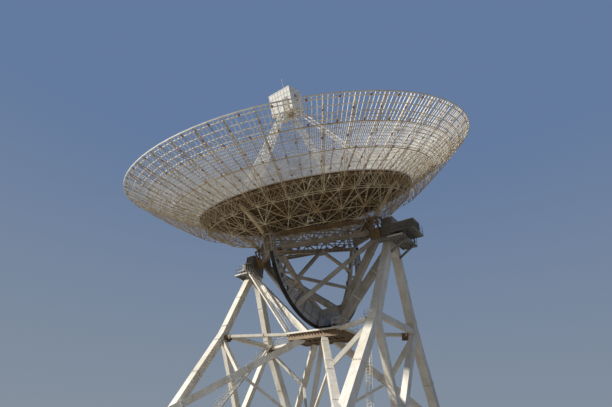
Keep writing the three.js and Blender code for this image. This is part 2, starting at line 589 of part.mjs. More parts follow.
function feedTube(turn, grow = 0) {
  const low = point(TUBE.foot, 0, CRADLE_HEIGHT);
  const down = low.clone().sub(feedFoot).normalize();
  const high = feedFoot.clone().addScaledVector(down, grow > 0 ? -TUBE.cutterOver : -TUBE.over);
  const solid = tube(high, low.addScaledVector(down, TUBE.radius), TUBE.radius + grow, TUBE.sides);
  return solid.rotate([0, 0, turn]).trimByPlane([0, 0, 1], CRADLE_HEIGHT + SEAT_GAP);
}
const quarterTurns = [0, 90, 180, 270];
const tubeHoles = quarterTurns.map((turn) => feedTube(turn, SEAT_GAP));
place(tippingPart, 'panel_bowl', cut(panelBowl(), tubeHoles), paint.panel);

// The back frame under the panels, in quarters: radial trusses tied by hoops.
const CHORD_FLAT = 5250;
const FRAME_EDGE = 7980;
const FRAME_HUB = 900;
const CHORD_LOW = CRADLE_HEIGHT + SEAT_GAP;
const EDGE_LOW = surface(FRAME_EDGE) - FRAME_DEPTH;
const frameLow = (r) => (r <= CHORD_FLAT ? CHORD_LOW
  : THREE.MathUtils.mapLinear(r, CHORD_FLAT, FRAME_EDGE, CHORD_LOW, EDGE_LOW));
const frameHigh = (r) => alongPanels(r) - PANEL_THICKNESS - SEAT_GAP;
const BAY = 360 / BAYS;
const trussBays = [1, 3, 5, 7];
const FRAME_WEB = { chord: 80, web: 70, hoop: 80 };

const spot = (r, z, degrees) => point(r * Math.cos(radians(degrees)), r * Math.sin(radians(degrees)), z);
const wedge = (solid, degrees) => solid.trimByPlane([0, 1, 0], 1)
  .trimByPlane([Math.sin(radians(degrees)), -Math.cos(radians(degrees)), 0], 1);

function backFrame() {
  const stations = [FRAME_HUB + 100, 3150, CHORD_FLAT, FRAME_EDGE - 60];
  const outline = [FRAME_HUB, CHORD_FLAT, FRAME_EDGE].map((r) => [r, frameLow(r)]);
  [FRAME_EDGE, 6400, 4800, 3200, 1600, FRAME_HUB].forEach((r) => outline.push([r, frameHigh(r)]));
  const holes = webHoles(stations, frameLow, frameHigh, FRAME_WEB.chord, FRAME_WEB.web);
  const trusses = trussBays.map((bay) => plate(outline, holes, FRAME_PLATE,
    upright(point(0, 0, 0), radians(bay * BAY))));
  const hoops = [
    [FRAME_HUB + 60, frameLow(FRAME_HUB) + 150], [CHORD_FLAT, frameLow(CHORD_FLAT) + 40],
    [FRAME_EDGE - 50, frameLow(FRAME_EDGE) + 60], [FRAME_EDGE - 60, frameHigh(FRAME_EDGE) - 190],
  ].flatMap(([r, z]) => [[-1, 1], [1, 3], [3, 5], [5, 7], [7, 9]].map(([bay, next]) =>
    beam(spot(r, z, bay * BAY), spot(r, z, next * BAY), FRAME_WEB.hoop)));
  return wedge(join([...trusses, ...hoops]), 90);
}
const quarter = backFrame();
['far_right', 'far_left', 'near_left', 'near_right'].forEach((name, i) =>
  place(tippingPart, 'back_frame_' + name, quarter, paint.tan, 90 * i));

// The open outer part of the reflector in eight sectors: a curved grid of ribs and hoops on outriggers.
const SECTOR_BAYS = 4;
const RIM_INSET = 60;
const OUTRIGGER_WEB = 60;
const GRID_OVERLAP = 30;
const rimLow = (r) => surface(r)
  - THREE.MathUtils.mapLinear(r, HOOP_RADII[0], DISH_RADIUS - RIM_INSET, FRAME_DEPTH, RIM_FRAME_DEPTH);
const gridLow = (r) => surface(r) - GRID_THICKNESS;

function curvedGrid() {
  const profile = HOOP_RADII.map((r) => new THREE.Vector2(r, gridLow(r)));
  [...HOOP_RADII].reverse().forEach((r) => profile.push(new THREE.Vector2(r, surface(r))));
  profile.push(profile[0].clone());
  const band = wedge(solidOf(new THREE.LatheGeometry(profile, BAYS).rotateX(Math.PI / 2)), SECTOR_BAYS * BAY);
  const holes = [];
  for (let bay = 0; bay < SECTOR_BAYS; bay += 1) {
    for (let i = 0; i < HOOP_RADII.length - 1; i += 1) {
      const r0 = HOOP_RADII[i] + (i === 0 ? GRID_BAR : GRID_BAR / 2);
      const r1 = HOOP_RADII[i + 1] - (i === HOOP_RADII.length - 2 ? GRID_BAR : GRID_BAR / 2);
      const turned = (r, side) => radians((bay + (side > 0 ? 0 : 1)) * BAY) + (side * GRID_BAR) / 2 / r;
      const rounds = [[r0, 1], [r1, 1], [r1, -1], [r0, -1]];
      const shape = new THREE.Shape(rounds.map(([r, side]) =>
        new THREE.Vector2(r * Math.cos(turned(r, side)), r * Math.sin(turned(r, side)))));
      const tall = { depth: 2 * DISH_DEPTH, bevelEnabled: false, steps: 1 };
      holes.push(solidOf(new THREE.ExtrudeGeometry(shape, tall)));
    }
  }
  return cut(band, holes);
}

function outrigger(degrees) {
  const tip = DISH_RADIUS - RIM_INSET;
  const stations = [HOOP_RADII[0] + 50, HOOP_RADII[1], HOOP_RADII[2]];
  const root = FRAME_EDGE + SEAT_GAP;
  const outline = [root, tip].map((r) => [r, rimLow(r)]);
  [tip, HOOP_RADII[2], HOOP_RADII[1], root].forEach((r) => outline.push([r, gridLow(r) + GRID_OVERLAP]));
  const holes = webHoles(stations, rimLow, gridLow, OUTRIGGER_WEB, OUTRIGGER_WEB);
  return plate(outline, holes, OUTRIGGER_PLATE, upright(point(0, 0, 0), radians(degrees)));
}
const sector = join([curvedGrid(), outrigger(BAY), outrigger(3 * BAY)]);
for (let k = 0; k < BAYS / SECTOR_BAYS; k += 1) {
  place(tippingPart, 'mesh_sector_' + (k + 1), sector, paint.panel, k * SECTOR_BAYS * BAY);
}

// The cabin at the focus, with its lightning rod, on four lattice legs that stand on the panels.
const CABIN = { halfX: 1050, halfY: 800, low: 11150, high: 13000 };
const ROD_RADIUS = 18;
const ROD_LENGTH = 1400;
const ROD_SUNK = 50;
const cabinBox = (grow = 0) => block(point(-CABIN.halfX, -CABIN.halfY, CABIN.low),
  point(CABIN.halfX, CABIN.halfY, CABIN.high), grow);
const rod = new THREE.CylinderGeometry(ROD_RADIUS, ROD_RADIUS, ROD_LENGTH + ROD_SUNK, 6);
rod.rotateX(Math.PI / 2);
const rodSolid = solidOf(rod.translate(0, 0, CABIN.high + (ROD_LENGTH - ROD_SUNK) / 2));
place(tippingPart, 'feed_cabin', cabinBox().add(rodSolid), paint.cream);

const FEED_LEG = {
  width: 520, thickness: 300, below: 200, chord: 70, web: 60, bays: 8, plain: 500, inside: 200,
};
const legNames = ['right', 'far', 'left', 'near'];
legNames.forEach((name, i) => {
  const inner = (i % 2 === 0 ? CABIN.halfX : CABIN.halfY) - FEED_LEG.inside;
  const rise = CABIN.low + 50 - feedFoot.z;
  const length = Math.hypot(FEED_FOOT_RADIUS - inner, rise) + FEED_LEG.below;
  const half = FEED_LEG.width / 2;
  const outline = [[0, -half], [length, -half], [length, half], [0, half]];
  const stations = [];
  for (let bay = 0; bay <= FEED_LEG.bays; bay += 1) {
    stations.push(FEED_LEG.plain + (bay * (length - FEED_LEG.plain - 400)) / FEED_LEG.bays);
  }
  const holes = webHoles(stations, () => -half, () => half, FEED_LEG.chord, FEED_LEG.web);
  const lean = Math.atan2(rise, inner - FEED_FOOT_RADIUS);
  const along = point(Math.cos(lean), 0, Math.sin(lean));
  const across = point(0, 1, 0);
  const placed = new THREE.Matrix4().makeBasis(along, across, along.clone().cross(across));
  placed.setPosition(feedFoot.clone().addScaledVector(along, -FEED_LEG.below));
  placed.premultiply(new THREE.Matrix4().makeRotationZ(radians(quarterTurns[i])));
  const lattice = plate(outline, holes, FEED_LEG.thickness, placed);
  const onPanels = largestOf(cut(lattice, [panelBowl(SEAT_GAP), cabinBox(SEAT_GAP)]));
  place(tippingPart, 'feed_leg_' + name, onPanels.add(feedTube(quarterTurns[i])), paint.cream);
});

export default telescope;
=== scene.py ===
import math

import bmesh
import bpy
from mathutils import Matrix, Vector


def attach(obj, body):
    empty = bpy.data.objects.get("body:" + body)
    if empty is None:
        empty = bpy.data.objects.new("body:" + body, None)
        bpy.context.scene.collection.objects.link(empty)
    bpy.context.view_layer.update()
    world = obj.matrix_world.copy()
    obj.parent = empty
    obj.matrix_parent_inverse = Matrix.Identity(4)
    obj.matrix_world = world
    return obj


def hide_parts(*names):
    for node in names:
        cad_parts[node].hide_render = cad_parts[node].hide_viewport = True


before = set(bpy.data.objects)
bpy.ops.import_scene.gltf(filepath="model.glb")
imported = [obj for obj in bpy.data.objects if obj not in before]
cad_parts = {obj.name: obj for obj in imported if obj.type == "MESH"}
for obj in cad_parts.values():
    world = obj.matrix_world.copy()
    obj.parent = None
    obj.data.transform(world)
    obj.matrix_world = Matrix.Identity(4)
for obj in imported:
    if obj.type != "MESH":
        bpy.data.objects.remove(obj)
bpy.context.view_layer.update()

# The camera stands low in front of the telescope and to its right, where the photograph was taken, and looks
# up at the dish. The lens gives the photograph's field of view.
CAMERA_PLACE = (15.663, -21.036, 0.616)
CAMERA_YAW = math.radians(38.578)
CAMERA_PITCH = math.radians(31.097)
CAMERA_ROLL = math.radians(3.054)
SENSOR_WIDTH = 36.0
FOCAL_LENGTH = 22.578
VIEW_DEPTH = 400.0


def add_object(name, data):
    """A new object in the scene."""
    added = bpy.data.objects.new(name, data)
    bpy.context.scene.collection.objects.link(added)
    return added


camera = add_object("camera", bpy.data.cameras.new("camera"))
camera.data.sensor_width = SENSOR_WIDTH
camera.data.lens = FOCAL_LENGTH
camera.data.clip_end = VIEW_DEPTH
heading = Matrix.Rotation(CAMERA_YAW, 4, "Z") @ Matrix.Rotation(math.pi / 2 + CAMERA_PITCH, 4, "X")
camera.matrix_world = Matrix.Translation(CAMERA_PLACE) @ heading @ Matrix.Rotation(CAMERA_ROLL, 4, "Z")
bpy.context.scene.camera = camera

# The floor is one plain pale disc just under the concrete ring. One low soft sun shines from the camera's
# left. The surroundings are a clear blue above the horizon and a dim warm tone below it.
FLOOR_RADIUS = 26.0
FLOOR_SIDES = 96
FLOOR_DROP = 0.004
FLOOR_COLOUR = (0.44, 0.40, 0.34, 1.0)
FLOOR_ROUGHNESS = 0.9
SUN_FROM = Vector((-0.82, -0.80, 0.62))
SUN_STRENGTH = 4.7
SUN_SOFTNESS = math.radians(2.0)
SUN_COLOUR = (1.0, 0.955, 0.87)
SKY_HIGH = (0.30, 0.47, 0.82, 1.0)
SKY_LOW = (0.55, 0.66, 0.80, 1.0)
GROUND_TONE = (0.42, 0.38, 0.32, 1.0)
HORIZON_BAND = 0.02
CLEAR_BLUE_FROM = 0.6
SURROUND_STRENGTH = 0.42

floor_mesh = bmesh.new()
bmesh.ops.create_circle(floor_mesh, cap_ends=True, radius=FLOOR_RADIUS, segments=FLOOR_SIDES)
bmesh.ops.translate(floor_mesh, verts=floor_mesh.verts, vec=(0, 0, -FLOOR_DROP))
floor = add_object("floor", bpy.data.meshes.new("floor"))
floor_mesh.to_mesh(floor.data)
floor_finish = bpy.data.materials.new("pale floor")
floor_finish.use_nodes = True
floor_finish.node_tree.nodes["Principled BSDF"].inputs["Base Color"].default_value = FLOOR_COLOUR
floor_finish.node_tree.nodes["Principled BSDF"].inputs["Roughness"].default_value = FLOOR_ROUGHNESS
floor.data.materials.append(floor_finish)

sun = add_object("sun", bpy.data.lights.new("sun", "SUN"))
sun.data.energy = SUN_STRENGTH
sun.data.angle = SUN_SOFTNESS
sun.data.color = SUN_COLOUR
sun.rotation_euler = SUN_FROM.to_track_quat("Z", "Y").to_euler()
surround = bpy.data.worlds.new("surround")
surround.use_nodes = True
sky_nodes = surround.node_tree.nodes
sky_links = surround.node_tree.links
direction = sky_nodes.new("ShaderNodeTexCoord")
split = sky_nodes.new("ShaderNodeSeparateXYZ")
ramp = sky_nodes.new("ShaderNodeValToRGB")
sky_links.new(direction.outputs["Generated"], split.inputs["Vector"])
sky_links.new(split.outputs["Z"], ramp.inputs["Fac"])
sky_links.new(ramp.outputs["Color"], sky_nodes["Background"].inputs["Color"])
ramp.color_ramp.elements[0].color = GROUND_TONE
ramp.color_ramp.elements[1].position = CLEAR_BLUE_FROM
ramp.color_ramp.elements[1].color = SKY_HIGH
ramp.color_ramp.elements.new(HORIZON_BAND).color = SKY_LOW
sky_nodes["Background"].inputs["Strength"].default_value = SURROUND_STRENGTH
bpy.context.scene.world = surround
bpy.context.scene.view_settings.view_transform = "Standard"

# The track's foundation is a ring of cast concrete at ground level, poured in arcs with a groove between
# them. Its top edges are chamfered, and rain has left it grey and stained.
BOGIE_X = 5.85
TRACK_RADIUS = math.hypot(BOGIE_X, BOGIE_X)
RING_HALF_WIDTH = 0.42
RING_TOP = 0.3
RING_CHAMFER = 0.03
RING_ARCS = 24
ARC_STEPS = 8
ARC_GAP = 0.012
FULL_TURN = 2 * math.pi
CONCRETE_GREY = (0.40, 0.385, 0.35)
CONCRETE_PALE = (0.47, 0.455, 0.42)
CONCRETE_STAIN = (0.22, 0.205, 0.18)


class Field:
    """A number that changes over a surface. Sums and products of fields add the Math nodes they need."""

    def __init__(self, finish, socket):
        self.finish = finish
        self.socket = socket

    def math(self, operation, *values):
        return self.finish.node("ShaderNodeMath", {"operation": operation}, dict(enumerate(values)))

    def __add__(self, other):
        return self.math("ADD", self, other)

    def __mul__(self, other):
        return self.math("MULTIPLY", self, other)

    def __rsub__(self, other):
        return self.math("SUBTRACT", other, self)

    __radd__ = __add__
    __rmul__ = __mul__

    def above(self, low, high):
        """0 under low, 1 over high, with a smooth step between."""
        sockets = {"Value": self, "From Min": low, "From Max": high}
        return self.finish.node("ShaderNodeMapRange", {"interpolation_type": "SMOOTHSTEP"}, sockets)


class Finish:
    """A material on the object's own coordinates, made of nodes that node() adds to its one shader."""

    def __init__(self, name):
        self.material = bpy.data.materials.new(name)
        self.material.use_nodes = True
        self.tree = self.material.node_tree
        self.shader = self.tree.nodes["Principled BSDF"]
        self.place = self.node("ShaderNodeTexCoord", {}, {}, "Object")

    def node(self, kind, settings, sockets, output=0):
        added = self.tree.nodes.new(kind)
        for name, value in settings.items():
            setattr(added, name, value)
        for name, value in sockets.items():
            self.feed(added.inputs[name], value)
        return Field(self, added.outputs[output])

    def feed(self, socket, value):
        if isinstance(value, Field):
            self.tree.links.new(value.socket, socket)
        elif isinstance(value, tuple) and len(value) == 3 and socket.type == "RGBA":
            socket.default_value = (*value, 1.0)
        else:
            socket.default_value = value

    def noise(self, scale, detail=3.0, roughness=0.55, stretch=None):
        place = self.place
        if stretch:
            place = self.node("ShaderNodeMapping", {}, {"Vector": place, "Scale": stretch})
        sockets = {"Vector": place, "Scale": scale, "Detail": detail, "Roughness": roughness}
        return self.node("ShaderNodeTexNoise", {}, sockets)

    def upward(self):
        """1 on faces that look straight up, 0 on walls, -1 underneath."""
        facing = self.node("ShaderNodeTexCoord", {}, {}, "Normal")
        return self.node("ShaderNodeSeparateXYZ", {}, {"Vector": facing}, "Z")

    def height(self):
        return self.node("ShaderNodeSeparateXYZ", {}, {"Vector": self.place}, "Z")

    def mix(self, factor, first, second):
        return self.node("ShaderNodeMix", {"data_type": "RGBA"}, {0: factor, 6: first, 7: second}, 2)

    def bump(self, height, strength, distance):
        sockets = {"Height": height, "Strength": strength, "Distance": distance}
        return self.node("ShaderNodeBump", {}, sockets)

    def shade(self, **sockets):
        """Feeds the shader's own sockets: base_color, roughness, metallic, normal and so on."""
        for name, value in sockets.items():
            self.feed(self.shader.inputs[name.replace("_", " ").title()], value)
        return self.material


def new_piece(name, mesh, material, body, slot, *nodes):
    """A finished piece: its mesh, finish and body, and the solids that it stands for."""
    data = bpy.data.meshes.new(name)
    mesh.to_mesh(data)
    mesh.free()
    data.materials.append(material)
    piece = add_object(name, data)
    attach(piece, body)
    if nodes:
        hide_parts(*nodes)


def stamp(mesh, part, *places):
    """Adds a copy of a part to a mesh at each place, a matrix or a plain point, and frees the part."""
    data = bpy.data.meshes.new("part")
    part.to_mesh(data)
    part.free()
    for place in places:
        copy = data.copy()
        copy.transform(place if isinstance(place, Matrix) else Matrix.Translation(place))
        mesh.from_mesh(copy)
        bpy.data.meshes.remove(copy)
    bpy.data.meshes.remove(data)


def face_outwards(part):
    """Turns the faces of a spun, cut or thickened part outwards, before it is placed."""
    part.normal_update()
    bmesh.ops.recalc_face_normals(part, faces=part.faces)


def turned(mesh, profile, steps, place=Matrix.Identity(4), sweep=FULL_TURN):
    """Spins a closed outline of (radius, height) points round the place's upright axis; caps a part turn."""
    part = bmesh.new()
    ring = [part.verts.new((r, 0, z)) for r, z in profile]
    edges = [part.edges.new((ring[i - 1], ring[i])) for i in range(len(ring))]
    whole = sweep == FULL_TURN
    bmesh.ops.spin(part, geom=ring + edges, cent=(0, 0, 0), axis=(0, 0, 1), angle=sweep, steps=steps,
                   use_merge=whole)
    if not whole:
        bmesh.ops.holes_fill(part, edges=[edge for edge in part.edges if edge.is_boundary])
    face_outwards(part)
    stamp(mesh, part, place)


def round_the_axis(count):
    """Places at even steps round the upright axis."""
    return [Matrix.Rotation(FULL_TURN * k / count, 4, "Z") for k in range(count)]


concrete = Finish("cast concrete")
stains = concrete.noise(0.55, 5.0).above(0.42, 0.66)
grains = concrete.noise(28.0, 2.0)
pale_grey = concrete.mix(concrete.noise(9.0, 4.0), CONCRETE_GREY, CONCRETE_PALE)
concrete.shade(base_color=concrete.mix(stains * 0.75, pale_grey, CONCRETE_STAIN),
               roughness=0.82 + 0.12 * grains, normal=concrete.bump(grains, 0.35, 0.01))

arc_mesh = bmesh.new()
inner = TRACK_RADIUS - RING_HALF_WIDTH
outer = TRACK_RADIUS + RING_HALF_WIDTH
turned(arc_mesh, [(inner, 0), (outer, 0), (outer, RING_TOP - RING_CHAMFER), (outer - RING_CHAMFER, RING_TOP),
                  (inner + RING_CHAMFER, RING_TOP), (inner, RING_TOP - RING_CHAMFER)],
       ARC_STEPS, sweep=FULL_TURN / RING_ARCS - ARC_GAP / TRACK_RADIUS)
ring_mesh = bmesh.new()
stamp(ring_mesh, arc_mesh, *round_the_axis(RING_ARCS))
new_piece("concrete_ring", ring_mesh, concrete.material, "track", "concrete", "foundation_ring")

# The rail is one rolled steel ring on its edge of concrete, held down by bolted clips on both sides. Wheels
# keep its top bright, and the foot and the clips rust.
RAIL_FOOT = 0.3004
RAIL_TOP = 0.36
RAIL_PROFILE = [(-0.088, 0.0), (0.088, 0.0), (0.088, 0.012), (0.035, 0.019), (0.035, 0.036), (0.075, 0.042),
                (0.08, 0.0585), (0.076, 0.0596), (-0.076, 0.0596), (-0.08, 0.0585), (-0.075, 0.042),
                (-0.035, 0.036), (-0.035, 0.019), (-0.088, 0.012)]
RAIL_STEPS = 192
CLIP_SIZE = (0.07, 0.09, 0.026)
CLIP_OFFSET = 0.105
CLIP_COUNT = 120
BOLT_RADIUS = 0.014
BOLT_HEAD = 0.02
RAIL_BROWN = (0.16, 0.085, 0.045)
RAIL_RUST = (0.24, 0.13, 0.07)
RAIL_BRIGHT = (0.55, 0.54, 0.52)


def block(mesh, place, size, edge=0.0):
    """A rectangular block, its edges eased where an edge width is given."""
    part = bmesh.new()
    bmesh.ops.create_cube(part, size=1.0, matrix=Matrix.Diagonal((*size, 1.0)))
    if edge:
        bmesh.ops.bevel(part, geom=part.edges[:], offset=edge, affect="EDGES", segments=1, profile=0.5,
                        material=-1)
    stamp(mesh, part, place)


def disc(mesh, place, radius, thickness, sides=6):
    """A short round or six-sided bar, such as a hub or a bolt head, centred on its place."""
    part = bmesh.new()
    bmesh.ops.create_cone(part, cap_ends=True, segments=sides, radius1=radius, radius2=radius,
                          depth=thickness)
    stamp(mesh, part, place)


rail_steel = Finish("rolled rail steel")
rusting = rail_steel.noise(5.0, 5.0).above(0.3, 0.62)
worn = rail_steel.upward().above(0.8, 0.97) * rail_steel.height().above(RAIL_TOP - 0.012, RAIL_TOP - 0.002)
rail_colour = rail_steel.mix(rusting, RAIL_BROWN, RAIL_RUST)
rail_steel.shade(base_color=rail_steel.mix(worn, rail_colour, RAIL_BRIGHT), metallic=0.35 + 0.6 * worn,
                 roughness=0.75 - 0.42 * worn,
                 normal=rail_steel.bump(rail_steel.noise(90.0, 3.0), 0.25, 0.002))

rail_mesh = bmesh.new()
turned(rail_mesh, [(TRACK_RADIUS + across, RAIL_FOOT + up) for across, up in RAIL_PROFILE], RAIL_STEPS)
new_piece("rail", rail_mesh, rail_steel.material, "track", "rail_steel", "azimuth_rail")
clips = bmesh.new()
for side in (-1, 1):
    clip = bmesh.new()
    middle = Vector((TRACK_RADIUS + side * CLIP_OFFSET, 0, RAIL_FOOT + CLIP_SIZE[2] / 2))
    block(clip, middle, CLIP_SIZE, 0.005)
    disc(clip, middle + Vector((side * 0.012, 0, CLIP_SIZE[2] / 2)), BOLT_RADIUS, BOLT_HEAD)
    stamp(clips, clip, *round_the_axis(CLIP_COUNT))
new_piece("rail_clips", clips, rail_steel.material, "track", "rail_steel")

# The centre pedestal is a round block of the same concrete under the turning bearing. A steel ring on top is
# held by a circle of anchor bolts.
PEDESTAL_PROFILE = [(0.02, 0), (0.9, 0), (0.9, 0.64), (0.86, 0.67), (0.02, 0.67)]
STEEL_RING_PROFILE = [(0.45, 0.6702), (0.85, 0.6702), (0.85, 0.696), (0.45, 0.696)]
PEDESTAL_SIDES = 64
ANCHOR_COUNT = 24
ANCHOR_PLACE = (0.78, 0, 0.7)

pedestal = bmesh.new()
turned(pedestal, PEDESTAL_PROFILE, PEDESTAL_SIDES)
new_piece("pedestal", pedestal, concrete.material, "track", "concrete", "pintle_pedestal")
anchors = bmesh.new()
turned(anchors, STEEL_RING_PROFILE, PEDESTAL_SIDES)
anchor = bmesh.new()
disc(anchor, ANCHOR_PLACE, 0.022, 0.03)
stamp(anchors, anchor, *round_the_axis(ANCHOR_COUNT))
new_piece("pedestal_anchors", anchors, rail_steel.material, "track", "rail_steel")

# Each corner of the turning frame stands on a bogie: a welded box frame with ribbed cheeks over two flanged
# steel wheels on the rail. It is painted grey and is rusty where water stands.
CORNERS = {"near_left": (-1, -1), "near_right": (1, -1), "far_left": (-1, 1), "far_right": (1, 1)}
BOGIE_LENGTH = 1.5
BOGIE_WIDTH = 0.52
BOGIE_MIDDLE = 0.7
BOGIE_PLATES = ((0.88, 0.04), (0.84, 0.02))
CHEEK = (0.04, BOGIE_LENGTH, 0.38)
CHEEK_RIB = (0.008, 0.025, 0.3)
END_PLATE = (0.46, 0.03, 0.36)
RIB_COUNT = 7
CHEEK_X = 0.235
CHEEK_RIB_X = 0.256
RIB_REACH = 0.66
END_PLATE_Y = 0.735
AXLE_RADIUS = 0.05
AXLE_LENGTH = 0.5
WHEEL_STEPS = 40
WHEEL_BOLTS = 6
WHEEL_BOLT_PLACE = (0.09, 0, 0.258)
WHEEL_SPREAD = 0.45
WHEEL_CENTRE = 0.5954
WHEEL_HALF = [(0.04, 0.078), (0.09, 0.078), (0.1, 0.03), (0.19, 0.02), (0.2, 0.072), (0.225, 0.075),
              (0.235, 0.068)]
WHEEL_PROFILE = WHEEL_HALF + [(radius, -up) for radius, up in reversed(WHEEL_HALF)]
ALONG_X = Matrix.Rotation(math.pi / 2, 4, "Y")
GREY = (0.17, 0.155, 0.135)
GREY_FADED = (0.27, 0.25, 0.22)
RUST = (0.20, 0.085, 0.03)


def weathered(name, colour, faded, rust, rust_share, bare=0.0):
    """Old outdoor paint: it fades in broad patches, and rust starts in spots and runs down in streaks."""
    paint = Finish(name)
    runs = paint.noise(3.4, 5.0, 0.6, (1.0, 1.0, 0.10))
    spots = paint.noise(2.6, 7.0, 0.68)
    rusty = (spots * 0.62 + runs * 0.38).above(0.70 - 0.32 * rust_share, 0.82 - 0.28 * rust_share)
    tone = paint.noise(0.8, 4.0).above(0.32, 0.68)
    grime = (runs * 0.7 + paint.noise(11.0, 4.0) * 0.3).above(0.44, 0.72)
    coat = paint.mix(tone, colour, faded)
    dirty = paint.mix(grime * 0.42, coat, tuple(0.42 * c for c in colour))
    paint.shade(base_color=paint.mix(rusty * 0.85, dirty, rust), roughness=0.52 + 0.33 * rusty,
                metallic=bare, normal=paint.bump(rusty * 0.6 + paint.noise(55.0, 3.0) * 0.4, 0.3, 0.004))
    return paint.material


def finish_nodes(material, slot, *names):
    """Solids whose shape is right already take a finish."""
    for name in names:
        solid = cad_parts[name]
        solid.data.materials.clear()
        solid.data.materials.append(material)


def spread(low, high, count):
    """Even steps from low to high, both included."""
    return [low + (high - low) * k / (count - 1) for k in range(count)]


grey_paint = weathered("grey paint", GREY, GREY_FADED, RUST, 0.35)
bogie_shape = bmesh.new()
for side in (-1, 1):
    block(bogie_shape, (side * CHEEK_X, 0, BOGIE_MIDDLE), CHEEK, 0.006)
    for y in spread(-RIB_REACH, RIB_REACH, RIB_COUNT):
        block(bogie_shape, (side * CHEEK_RIB_X, y, BOGIE_MIDDLE + 0.02), CHEEK_RIB)
for level, thickness in BOGIE_PLATES:
    block(bogie_shape, (0, 0, level), (BOGIE_WIDTH, BOGIE_LENGTH, thickness), 0.006)
for end in (-1, 1):
    block(bogie_shape, (0, end * END_PLATE_Y, BOGIE_MIDDLE), END_PLATE, 0.006)
    on_axle = Matrix.Translation((0, end * WHEEL_SPREAD, WHEEL_CENTRE)) @ ALONG_X
    turned(bogie_shape, WHEEL_PROFILE, WHEEL_STEPS, on_axle)
    disc(bogie_shape, on_axle, AXLE_RADIUS, AXLE_LENGTH, 20)
    for turn in round_the_axis(WHEEL_BOLTS):
        disc(bogie_shape, on_axle @ turn @ Matrix.Translation(WHEEL_BOLT_PLACE), 0.011, 0.012)
for name, (x, y) in CORNERS.items():
    bogie = bmesh.new()
    corner = Matrix.Translation((x * BOGIE_X, y * BOGIE_X, 0))
    stamp(bogie, bogie_shape.copy(), corner @ Matrix.Rotation(math.atan2(y, x), 4, "Z"))
    new_piece("bogie_frame_" + name, bogie, grey_paint, "alidade", "grey_paint", "bogie_" + name)

# The turning frame is welded from large box sections in cream paint: four bent legs, two side frames with a
# level beam and inner legs, and sills between the feet. Its sunny faces are bleached and its joints rust.
CREAM = (0.66, 0.61, 0.51)
CREAM_FADED = (0.78, 0.75, 0.68)
CREAM_RUST = (0.27, 0.145, 0.06)
LEG_WIDTH = 0.5
LEG_TOP = Vector((6.1, 0.28, 11.59))
LEG_KNEE = Vector((6.0, 2.45, 6.4))
LEG_FOOT = Vector((5.85, 5.85, 0.9))
KNEE_PLATE = (0.02, LEG_WIDTH * 0.92, 0.7)
KNEE_PLATE_SHIFT = 0.385
LOWER_SPLICES = (0.06, 0.5, 0.9)
UPPER_SPLICES = (0.1, 0.55)
FLANGE_REACH = 0.025
FLANGE_THICKNESS = 0.028
FLANGE_BOLTS = 5
UP = Vector((0, 0, 1))

cream_paint = weathered("cream paint", CREAM, CREAM_FADED, CREAM_RUST, 0.16)
finish_nodes(cream_paint, "cream_paint", *("leg_" + name for name in CORNERS), "side_truss_left",
             "side_truss_right", "sill_left", "sill_right", "sill_near", "sill_far")


def along(start, end, side=UP):
    """The place of a bar: its Z runs from start to end, and its X looks as far as it can towards side."""
    start, end, side = Vector(start), Vector(end), Vector(side)
    run = (end - start).normalized()
    across = side - run * side.dot(run)
    if across.length < 0.001:
        across = run.orthogonal()
    across.normalize()
    place = Matrix((across, run.cross(across), run)).transposed().to_4x4()
    place.translation = (start + end) / 2
    return place


def beam(mesh, start, end, width, depth, side=UP, edge=0.0):
    """A straight member of a rectangular section, its width towards side."""
    block(mesh, along(start, end, side), (width, depth, math.dist(start, end)), edge)


def rod(mesh, start, end, radius, sides=6):
    """A straight round bar or tube."""
    disc(mesh, along(start, end), radius, math.dist(start, end), sides)


def splices(mesh, start, end, shares, width, depth, side=UP):
    """Bolted splices round a box member: a pair of flanges and a row of bolts on each face."""
    size = (width + 2 * FLANGE_REACH, depth + 2 * FLANGE_REACH, FLANGE_THICKNESS)
    for share in shares:
        place = along(start, end, side)
        place.translation = Vector(start).lerp(Vector(end), share)
        for offset in (-0.5, 0.5):
            block(mesh, place @ Matrix.Translation((0, 0, offset * FLANGE_THICKNESS * 1.15)), size, 0.005)
        for i in range(FLANGE_BOLTS):
            step = (i + 0.5) / FLANGE_BOLTS - 0.5
            for face in (-1, 1):
                for x, y in ((step * width, face * (depth / 2 + 0.022)),
                             (face * (width / 2 + 0.022), step * depth)):
                    disc(mesh, place @ Matrix.Translation((x, y, 0)), 0.013, 3.4 * FLANGE_THICKNESS)


def mirrored(point, x, y):
    return Vector((point[0] * x, point[1] * y, point[2]))


def cream_piece(name, mesh, *nodes):
    """A cream-painted piece of the turning frame."""
    new_piece(name, mesh, cream_paint, "alidade", "cream_paint", *nodes)


for name, (x, y) in CORNERS.items():
    fittings = bmesh.new()
    foot, knee, top = (mirrored(point, x, y) for point in (LEG_FOOT, LEG_KNEE, LEG_TOP))
    outward = Vector((x, 0, 0))
    splices(fittings, foot, knee, LOWER_SPLICES, LEG_WIDTH, LEG_WIDTH, outward)
    splices(fittings, knee, top, UPPER_SPLICES, LEG_WIDTH, LEG_WIDTH, outward)
    for far_end in (foot, top):
        run = (far_end - knee).normalized()
        for face in (-1, 1):
            flat = along(knee, far_end, outward)
            flat.translation = knee + run * KNEE_PLATE_SHIFT + outward * face * (LEG_WIDTH / 2 + 0.006)
            block(fittings, flat, KNEE_PLATE, 0.004)
    cream_piece("leg_fittings_" + name, fittings)

